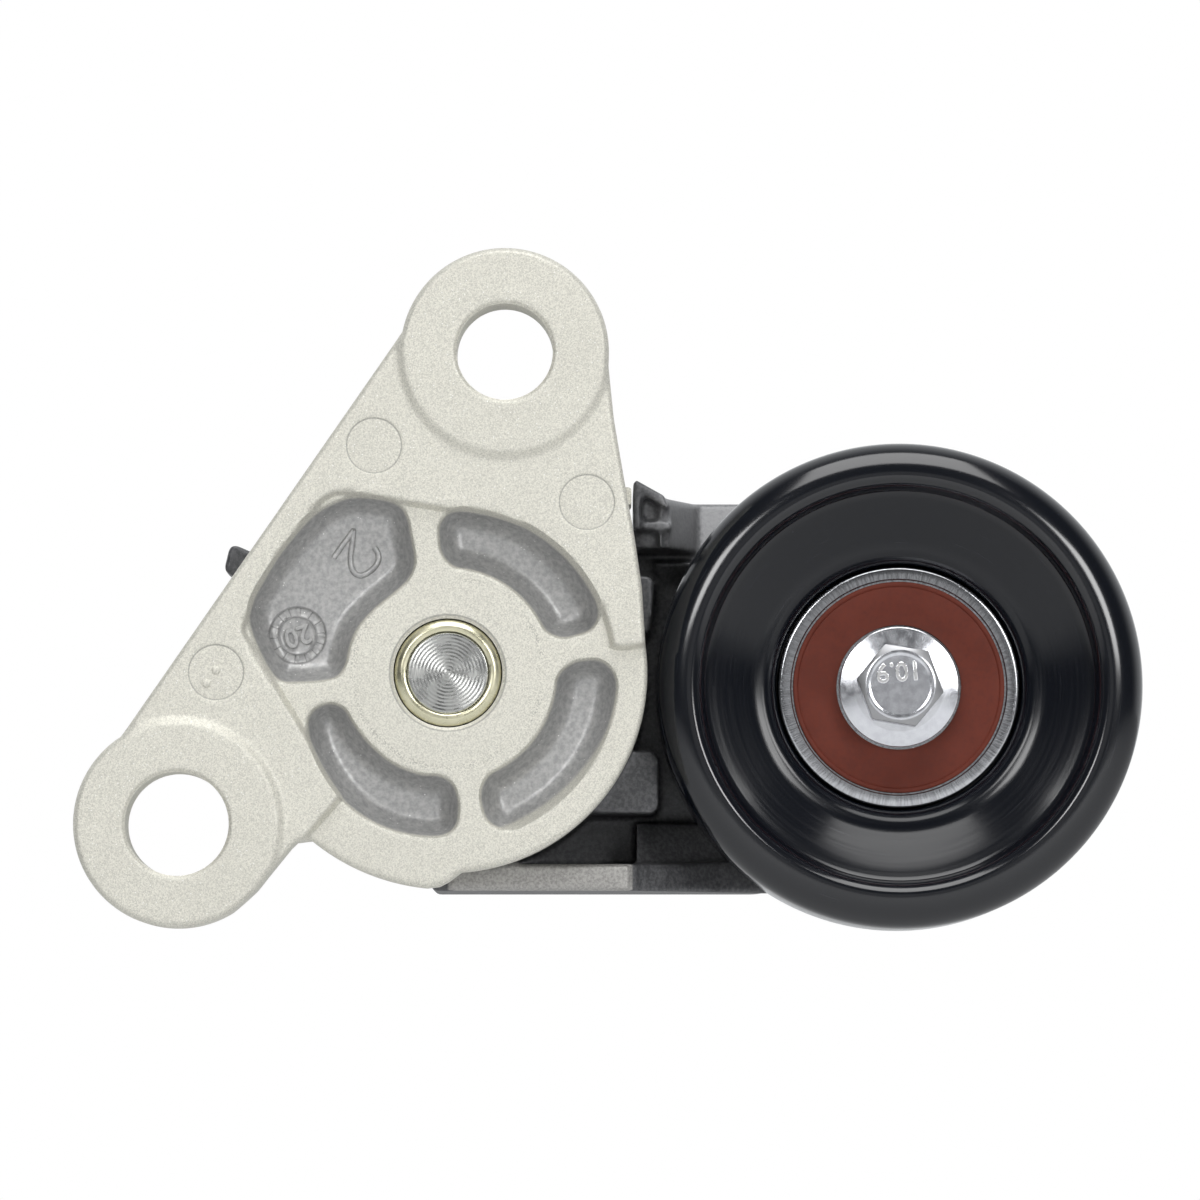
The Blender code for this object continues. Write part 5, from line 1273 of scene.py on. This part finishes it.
@dataclass
class Pivot(Assembly):
    """The pivot pin, its zinc-yellow sleeve, the far cap and the friction ring."""

    pin_radius: float = 6.76
    pin_y: float = 3.6
    groove: float = 0.58
    ridge: float = 0.045
    face_edge: float = 6.35
    sleeve_inner: float = 6.8
    sleeve_outer: float = 7.8
    sleeve_crest: float = 7.55
    flare: float = 8.75

    def pin(self) -> bpy.types.Object:
        """Builds the pin, with turned grooves in its near face and a rounded edge."""
        top = self.pin_y + self.ridge
        face = [(0.0, self.pin_y - 0.02), (0.10, top)]
        radius = 0.10 + self.groove / 2
        while radius < self.face_edge:
            face += [(radius, self.pin_y), (radius + self.groove / 2, top)]
            radius += self.groove
        edge = self.pin_radius - self.face_edge
        face += [(self.face_edge + edge * math.sin(turn),
                  self.pin_y + 0.02 + edge * (1.0 - math.cos(turn)))
                 for turn in np.radians(np.linspace(12.0, 90.0, 9))]
        profile = [*face, (self.pin_radius, 46.1), (10.5, 46.1), (10.5, 49.0), (0.0, 49.0)]
        return lathe("pin_face", profile, PIVOT_AXIS, self.finishes.pin, 144, 10.0)

    def sleeve(self) -> bpy.types.Object:
        """Builds the sleeve with its flared near end, whose face is domed."""
        near, far = 3.15, 3.75
        rim = self.flare - 0.05
        dome = [(rim - (rim - self.sleeve_crest) * share, near + (far - near) * (1.0 - share)**1.4)
                for share in np.linspace(0.0, 1.0, 8)]
        profile = [(self.sleeve_outer, 43.8), (self.sleeve_outer, 5.4),
                   (self.flare, far + 0.45), (self.flare, far + 0.06), *dome,
                   (7.42, near + 0.006), (7.28, near + 0.022), (7.14, near + 0.048),
                   (7.0, near + 0.09), (6.88, near + 0.15), (self.sleeve_inner, near + 0.3),
                   (self.sleeve_inner, 43.8)]
        return lathe("yellow_sleeve", profile, PIVOT_AXIS, self.finishes.yellow, 144)

    def cap(self) -> bpy.types.Object:
        """Builds the pressed cap over the pin's far end."""
        outer, near, far = 16.2, 42.85, 49.95
        edge = [(outer - 1.5 + 1.5 * math.sin(turn), far - 1.5 + 1.5 * math.cos(turn))
                for turn in np.linspace(0.0, math.pi / 2, 7)]
        profile = [(0.0, far - 0.5), (9.0, far - 0.5), (10.2, far - 0.1), (10.8, far), *edge,
                   (outer, near), (outer - 1.0, near), (outer - 1.0, far - 1.6),
                   (outer - 1.6, far - 1.05), (0.0, far - 1.5)]
        return lathe("far_cap", profile, PIVOT_AXIS, self.finishes.zinc, 128)

    def ring(self) -> bpy.types.Object:
        """Builds the damping ring between the bracket and the drum."""
        profile = [(30.8, 14.1), (30.8, 12.45), (30.65, 12.3), (27.65, 12.3),
                   (27.5, 12.45), (27.5, 14.1), (27.65, 14.3), (30.65, 14.3)]
        return lathe("damping_ring", profile, PIVOT_AXIS, self.finishes.plastic, 128)

    def seat(self) -> None:
        """Builds the pieces and puts each on its body."""
        seat(self.pin(), Body.BASE, Slot.TURNED, "pivot_pin")
        seat(self.sleeve(), Body.BASE, Slot.YELLOW, "pin_sleeve")
        seat(self.ring(), Body.BASE, Slot.PLASTIC, "friction_ring")
        seat(self.cap(), Body.ARM, Slot.ZINC, "front_cover")


@dataclass
class Arm(Assembly):
    """The coated die-cast arm: drum, web, rails, ribs, pulley boss and wrench lug."""

    drum_radius: float = 32.2
    drum_wall: float = 3.4
    near: float = 16.5
    web_near: float = 34.0
    web_far: float = 44.0
    top: float = 29.9
    bottom: float = -35.5
    tip: float = 18.0

    def block(self, corners: Sequence[Corner], near: float, far: float) -> bpy.types.Object:
        """Makes a block whose corners are (x, z, radius), between two levels of Y."""
        return prism("block", rounded(corners), near, far, self.finishes.coated)

    def slope(self, corners: Sequence[Corner], far: float = 35.0) -> bpy.types.Object:
        """Makes a block whose near face goes through (x, z, y) corners."""
        return prism("slope", [corner[:2] for corner in corners],
                     [corner[2] for corner in corners], far, self.finishes.coated)

    def drum(self) -> bpy.types.Object:
        """Builds the drum with its end wall and the hub in its middle."""
        outer, inner = self.drum_radius, self.drum_radius - self.drum_wall
        profile = [(outer, 44.6), (outer, 14.6), (inner, 14.6), (inner, 41.5), (13.2, 41.5),
                   (13.2, 18.1), (10.3, 18.1), (10.3, 42.5), (16.5, 42.5), (16.5, 46.0),
                   (30.8, 46.0)]
        return lathe("drum", profile, PIVOT_AXIS, self.finishes.coated, 180)

    def web(self) -> list[bpy.types.Object]:
        """Builds the web that carries the pulley boss, thinner along its top."""
        x, z = PULLEY_AXIS
        tip = self.tip
        corners: list[Corner] = [
            (-3.0, self.bottom, 0.8), (52.0, self.bottom, 6.0),
            (x + tip * 1.05, z - tip * 0.8, tip * 0.75),
            (x + tip * 1.05, z + tip * 0.8, tip * 0.75), (50.0, self.top, 8.0),
            (35.7, self.top, 0.8), (30.4, 32.9, 0.6), (30.4, 2.4, 0.0)]
        drum = [(*point, 0.0) for point in arc(30.5, 4.0, -95.6, pace=1.0)]
        whole = self.block(corners + drum, self.web_near + 3.6, self.web_far)
        corners[4:7] = [(66.0, 19.9, 0.0), (30.4, 19.9, 0.0)]
        return [whole, self.block(corners + drum, self.web_near, self.web_near + 3.8)]

    def ribs(self) -> list[bpy.types.Object]:
        """Builds the rails, the walls and the pads between the drum and the pulley."""
        near, deep, low = self.near, self.web_near + 1.0, self.bottom
        turn = math.radians(151.6)
        along = Vector((math.cos(turn), math.sin(turn)))
        side = Vector((-along.y, along.x)) * 2.3
        foot, tip = along * 30.5, along * 42.4
        lug = [(*(foot - side * 1.4), 0.0), (*(tip - side), 1.0),
               (*(tip + side - along * 1.2), 1.0), (*(foot + side * 1.4), 0.0)]
        blocks = [
            ([(30.4, 30.9, 0.0), (36.4, 27.6, 0.0), (35.7, 29.9, 0.5), (30.4, 32.9, 0.5)],
             near, deep),
            ([(30.4, 24.2, 0.0), (31.7, 24.2, 0.0), (31.7, 32.0, 0.0), (30.4, 32.4, 0.0)],
             near, deep),
            ([(30.4, 24.2, 0.3), (36.9, 24.2, 0.0), (36.9, 25.8, 0.0), (30.4, 25.8, 0.3)],
             near + 1.0, deep),
            ([(-3.0, low, 0.8), (31.0, low, 0.5), (31.0, low + 4.5, 0.5),
              (-3.0, low + 4.5, 0.5)], 15.0, deep),
            ([(0.4, low + 0.2, 0.0), (29.9, low + 0.2, 0.0), (29.9, low + 4.3, 0.0),
              (0.4, low + 4.3, 0.0)], 14.0, deep),
            ([(20.5, -22.6, 0.0), (34.6, -22.6, 1.6), (34.6, -12.4, 1.6), (27.9, -12.4, 0.0)],
             near, deep),
            ([(29.7, 7.0, 0.0), (33.3, 7.0, 1.0), (34.0, 16.8, 1.6), (25.4, 16.8, 0.0)],
             near + 1.0, deep),
            ([(28.8, -4.8, 0.0), (70.3, -4.8, 0.0), (70.3, 1.2, 0.0), (28.8, 1.2, 0.0)],
             self.web_far - 1.0, self.web_far + 2.2),
            (lug, near, near + 12.0)]
        slopes = [
            ([(34.8, 21.4, 17.5), (41.0, 21.4, 33.9), (41.0, 29.9, 36.5), (34.8, 29.9, 17.5)],
             38.5),
            ([(30.4, 19.8, 33.9), (66.0, 19.8, 33.9), (50.0, 29.9, 37.8), (30.4, 29.9, 37.8)],
             39.0),
            ([(30.5, low, 15.2), (36.0, low, 19.0), (36.0, low + 4.6, 19.6),
              (30.5, low + 4.5, 15.2)], deep),
            ([(35.8, low, 19.0), (44.0, low, 27.0), (44.0, low + 5.2, 28.0),
              (35.8, low + 4.6, 19.6)], deep),
            ([(43.8, low, 27.0), (54.0, low, 33.9), (54.0, low + 6.0, 33.9),
              (43.8, low + 5.2, 28.0)], deep),
            ([(30.4, 21.4, 20.4), (36.5, 21.4, 20.4), (36.5, 29.0, 18.9), (30.4, 32.0, 18.9)],
             deep),
            ([(34.0, 16.0, 33.9), (60.0, 16.0, 33.9), (60.0, 19.9, 31.6), (34.0, 19.9, 31.6)],
             deep),
            ([(31.0, low + 3.5, 22.0), (47.0, low + 3.5, 31.0), (47.0, -24.0, 33.9),
              (31.0, -24.0, 26.0)], deep)]
        return ([self.block(corners, first, last) for corners, first, last in blocks]
                + [self.slope(corners, last) for corners, last in slopes])

    def boss(self) -> bpy.types.Object:
        """Builds the boss that enters the bearing."""
        profile = [(0.0, 35.0), (15.0, 35.0), (15.0, 33.6), (12.5, 31.8), (12.1, 29.0),
                   (11.5, 27.8), (8.25, 27.8), (8.25, 21.8), (0.0, 21.8)]
        return lathe("boss", profile, PULLEY_AXIS, self.finishes.coated, 96)

    def wrench_lug(self) -> bpy.types.Object:
        """Builds the hexagon on the far side."""
        reach = 15.0 / math.sqrt(3)
        x, z = PULLEY_AXIS
        return self.block([(x + reach * math.cos(math.radians(60 * n)),
                            z + reach * math.sin(math.radians(60 * n)), 0.4) for n in range(6)],
                          self.web_far - 1.0, self.web_far + 8.0)

    def seat(self) -> None:
        """Builds the arm and puts it on its body."""
        solid = joined("coated_arm", [self.drum(), *self.web(), *self.ribs(), self.boss(),
                                      self.wrench_lug()])
        cast_solid(solid, voxel=0.5, passes=7, keep=0.75)
        seat(solid, Body.ARM, Slot.COATED, "tensioner_arm")


@dataclass
class Pulley(Assembly):
    """The spun pulley: rolled rim, dished web and hub round the bearing."""

    radius: float = 40.0
    near: float = 6.0
    far: float = 32.0
    crest: float = 34.6
    rim_foot: float = 32.2
    inner_roll: float = 1.45
    sheet: float = 2.4
    bore: float = 20.25

    def profile(self) -> list[Point]:
        """Returns the section of the sheet."""
        crest, near, bore = self.crest, self.near, self.bore
        quarter = math.pi / 2
        points = [(self.radius, self.far - 0.6)]
        points += [(crest + (self.radius - crest) * math.cos(turn),
                    near + 5.0 * (1.0 - math.sin(turn))) for turn in np.linspace(0.0, quarter, 18)]
        points += [(crest - (crest - self.rim_foot) * math.sin(turn),
                    near + 3.8 * (1.0 - math.cos(turn)))
                   for turn in np.linspace(0.0, quarter, 14)[1:]]
        points += [(32.08, 9.98), (31.85, 10.13), (31.4, 10.3)]
        start, end = (31.4, 10.3), (23.4, 13.6)
        points += [(start[0] + (end[0] - start[0]) * share,
                    start[1] + (end[1] - start[1]) * share**1.08)
                   for share in np.linspace(0.1, 1.0, 8)]
        points += [(end[0] - (end[0] - bore) * math.sin(turn),
                    end[1] + 3.0 * (1.0 - math.cos(turn)))
                   for turn in np.radians(np.linspace(12.0, 90.0, 10))]
        points += [(bore, 27.8), (bore - 1.7, 27.8), (bore - 1.7, 28.9), (bore + 1.8, 28.9),
                   (bore + 2.4, 28.2), (bore + 2.4, 16.6), (23.8, 16.2), (31.4, 12.9),
                   (33.6, 12.0)]
        wall = self.radius - self.sheet
        points += [(wall - self.inner_roll * (1.0 - math.cos(turn)),
                    near + self.sheet + self.inner_roll * (1.0 - math.sin(turn)))
                   for turn in np.linspace(math.pi, 0.0, 9)]
        return [*points, (wall, self.far), (self.radius - 0.6, self.far)]

    def seat(self) -> None:
        """Builds the pulley and puts it on its body."""
        piece = lathe("gloss_pulley", self.profile(), PULLEY_AXIS, self.finishes.black, 224)
        seat(piece, Body.PULLEY, Slot.BLACK, "pulley_rim")


@dataclass
class Bearing(Assembly):
    """What shows of the sealed bearing: its outer ring and the seals."""

    near: float = 15.5
    far: float = 27.5
    outer: float = 20.0
    seal_seat: float = 17.75
    land: float = 10.0

    def ring(self) -> bpy.types.Object:
        """Builds the outer ring."""
        near, far, outer, recess = self.near, self.far, self.outer, self.seal_seat
        groove = [(14.25 + 3.6 * math.cos(turn), (near + far) / 2 + 3.6 * math.sin(turn))
                  for turn in np.linspace(-0.93, 0.93, 9)]
        profile = [(outer, far - 0.6), (outer, near + 0.6), (outer - 0.08, near + 0.3),
                   (outer - 0.3, near + 0.08), (outer - 0.6, near), (17.95, near),
                   (recess, near + 0.2), (recess, near + 1.9), (16.4, near + 1.9), *groove,
                   (16.4, far - 1.9), (recess, far - 1.9), (recess, far), (outer - 0.6, far)]
        return lathe("outer_ring", profile, PULLEY_AXIS, self.finishes.ground, 192)

    def seal(self, name: str, side: float) -> bpy.types.Object:
        """Builds the near seal for a side of -1, or the far one for a side of 1."""
        face = (self.near + self.far) / 2 + side * 5.6
        outer, land = self.seal_seat - 0.3, self.land
        rows = [(outer, -1.1), (outer, 0.11), (outer - 0.12, 0.22), (outer - 0.55, 0.22),
                (outer - 0.72, 0.11), (outer - 0.85, -0.06), (outer - 1.05, -0.02),
                (outer - 1.3, 0.0), (land + 3.2, 0.0), (land + 2.9, -0.05),
                (land + 0.9, -0.08), (land + 0.3, 0.0), (land + 0.3, -1.1)]
        profile = [(radius, face + side * rise) for radius, rise in rows]
        return lathe(name, profile, PULLEY_AXIS, self.finishes.seal, 160, 50.0)

    def seat(self) -> None:
        """Builds the pieces and puts them on the pulley."""
        seat(self.ring(), Body.PULLEY, Slot.BEARING, "bearing_outer_race")
        seat(self.seal("near_seal", -1.0), Body.PULLEY, Slot.SEAL, "front_seal")
        seat(self.seal("far_seal", 1.0), Body.PULLEY, Slot.SEAL, "rear_seal")


@dataclass
class Bolt(Assembly):
    """The flanged hexagon bolt of the pulley."""

    across: float = 12.5
    turn: float = -9.5
    seat_y: float = 15.2
    top_y: float = 6.6
    flange: float = 9.9
    chamfer: float = 22.0

    def head(self) -> bpy.types.Object:
        """Builds the hexagon, its corners turned down to a round top."""
        x, z = PULLEY_AXIS
        top, bottom = self.top_y, self.seat_y - 1.8
        angles = np.linspace(0.0, math.tau, 240, endpoint=False)
        inside = np.radians((np.degrees(angles) - self.turn) % 60.0 - 30.0)
        flat = np.minimum(self.across / 2 / np.cos(inside), self.across / math.sqrt(3) - 0.06)
        crown = self.across / 2 - 0.55
        drop = (flat - crown) * math.tan(math.radians(self.chamfer))
        rows = [(crown + out, top + down) for out, down in (
            (-1.5, 0.12), (-0.85, 0.12), (-0.80, 0.115), (-0.55, 0.02), (-0.30, 0.0),
            (-0.05, 0.03), (0.15, 0.09))]
        rows += [(flat - 0.04, top + 0.05 + drop), (flat, top + 0.11 + drop),
                 (flat, (top + bottom) / 2), (flat, bottom)]
        rings = [np.column_stack([x + radius * np.cos(angles),
                                  np.broadcast_to(level, len(angles)),
                                  z + radius * np.sin(angles)]) for radius, level in rows]
        return loft("bolt_head", rings, self.finishes.zinc, 28.0)

    def flange_and_shank(self) -> bpy.types.Object:
        """Builds the flange and the shank."""
        base = self.seat_y
        profile = [(0.0, 38.8), (3.7, 38.8), (4.9, 37.6), (4.9, base),
                   (self.flange - 0.1, base), (self.flange, base - 0.15),
                   (self.flange, base - 1.20), (self.flange - 0.05, base - 1.33),
                   (9.75, base - 1.382), (9.68, base - 1.40), (8.8, base - 1.621),
                   (7.8, base - 1.873), (6.8, base - 2.125), (5.6, base - 2.427),
                   (0.0, base - 2.427)]
        return lathe("flange", profile, PULLEY_AXIS, self.finishes.zinc)

    def seat(self) -> None:
        """Builds the bolt with its strength class, and puts it on the arm."""
        x, z = PULLEY_AXIS
        grade = lettering("grade", "10.9", (x - 0.3, self.top_y + 0.08, z + 2.3), 185.0, 0.20,
                          self.finishes.zinc)
        piece = joined("flange_bolt", [self.flange_and_shank(), self.head(), grade])
        seat(piece, Body.ARM, Slot.ZINC, "pulley_bolt")


@dataclass
class HiddenPieces(Assembly):
    """Nodes that keep their shape under new finishes."""

    def seat(self) -> None:
        """Gives each node its finish."""
        wear = {"torsion_spring": self.finishes.spring, "bearing_cage": self.finishes.cage}
        wear |= dict.fromkeys(("rear_bush", "front_bush", "spring_sleeve"),
                              self.finishes.plastic)
        wear |= dict.fromkeys(("thrust_washer", "bearing_inner_race",
                               *(f"ball_{n}" for n in range(1, 9))), self.finishes.ground)
        for name, material in wear.items():
            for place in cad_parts[name].material_slots:
                place.material = material
            LOG.info("%s keeps its shape under %s", name, material.name)


# Stage


@dataclass(frozen=True)
class Lamp:
    """A soft box: where it stands, how large it is, how bright, and what it points at."""

    name: str
    place: tuple[float, float, float]
    size: tuple[float, float]
    glow: float
    aim: tuple[float, float, float] = (0.03, 0.0, 0.0)

    def build(self) -> None:
        """Adds the lamp to the scene."""
        light = bpy.data.lights.new(self.name, "AREA")
        light.shape = "RECTANGLE"
        light.size, light.size_y = self.size
        light.energy = math.pi * self.size[0] * self.size[1] * self.glow
        obj = linked(self.name, light)
        obj.location = self.place
        towards = Vector(self.aim) - Vector(self.place)
        obj.rotation_euler = towards.to_track_quat("-Z", "Y").to_euler()


@dataclass
class Studio:
    """The camera, the soft boxes, the pale floor and the white surround."""

    camera_place: tuple[float, float, float] = (0.02493, -1.49856, -0.06675)
    tilt: float = 3.0
    lens: float = 275.23
    floor_z: float = -0.20
    floor_radius: float = 2.7
    dim: float = 0.09
    lamps: tuple[Lamp, ...] = (
        Lamp("left_key", (-0.51, -1.3, 0.44), (0.34, 0.38), 9.8),
        Lamp("right_key", (0.76, -1.3, 0.37), (0.38, 0.50), 9.8),
        Lamp("top_box", (0.07, -0.62, 1.22), (1.0, 1.05), 4.1),
        Lamp("front_panel", (0.06, -1.9, 0.10), (0.7, 0.7), 0.33),
    )

    def camera(self) -> None:
        """Adds the camera at the photograph's place."""
        data = bpy.data.cameras.new("camera")
        data.sensor_width = 36.0
        data.lens = self.lens
        data.clip_end = 20.0
        obj = linked("camera", data)
        obj.location = self.camera_place
        obj.rotation_euler = (math.radians(90.0 + self.tilt), 0.0, 0.0)
        bpy.context.scene.camera = obj

    def floor(self) -> None:
        """Adds a round pale floor below the part."""
        material = bpy.data.materials.new("pale_floor")
        material.use_nodes = True
        shader = material.node_tree.nodes["Principled BSDF"]
        shader.inputs["Base Color"].default_value = (0.76, 0.76, 0.76, 1.0)
        shader.inputs["Roughness"].default_value = 0.8
        turns = np.linspace(0.0, math.tau, 96, endpoint=False)
        reach = self.floor_radius / MM
        points = np.column_stack([reach * np.cos(turns), reach * np.sin(turns),
                                  np.full(len(turns), self.floor_z / MM)])
        obj = mesh_object("floor", points, [range(len(turns))], material)

    def surround(self) -> None:
        """Makes the world white to the camera and behind the part, and dimmer in front."""
        world = bpy.data.worlds.new("surround")
        world.use_nodes = True
        bpy.context.scene.world = world
        tree = world.node_tree
        new = tree.nodes.new
        lit, out = tree.nodes["Background"], tree.nodes["World Output"]
        seen, mix = new("ShaderNodeBackground"), new("ShaderNodeMixShader")
        path, coords = new("ShaderNodeLightPath"), new("ShaderNodeTexCoord")
        parts, ramp = new("ShaderNodeSeparateXYZ"), new("ShaderNodeMapRange")
        lit.inputs["Color"].default_value = (0.96, 0.98, 1.0, 1.0)
        seen.inputs["Color"].default_value = (1.0, 1.0, 1.0, 1.0)
        ramp.interpolation_type = "SMOOTHSTEP"
        for name, number in (("From Min", -0.25), ("From Max", 0.5),
                             ("To Min", self.dim), ("To Max", 0.9)):
            ramp.inputs[name].default_value = number
        for source, target in (
            (coords.outputs["Generated"], parts.inputs[0]),
            (parts.outputs["Y"], ramp.inputs["Value"]),
            (ramp.outputs["Result"], lit.inputs["Strength"]),
            (path.outputs["Is Camera Ray"], mix.inputs["Fac"]),
            (lit.outputs[0], mix.inputs[1]), (seen.outputs[0], mix.inputs[2]),
            (mix.outputs[0], out.inputs["Surface"]),
        ):
            tree.links.new(source, target)

    def build(self) -> None:
        """Sets the stage."""
        self.camera()
        self.floor()
        self.surround()
        for lamp in self.lamps:
            lamp.build()
        bpy.context.scene.view_settings.view_transform = "Standard"


def main() -> None:
    """Builds the pieces in order and sets the stage."""
    logging.basicConfig(level=logging.INFO, format="%(message)s")
    Studio().build()
    finishes = Finishes()
    for kind in (Bracket, Pivot, Arm, Pulley, Bearing, Bolt, HiddenPieces):
        kind(finishes).seat()


if __name__ == "__main__":
    main()
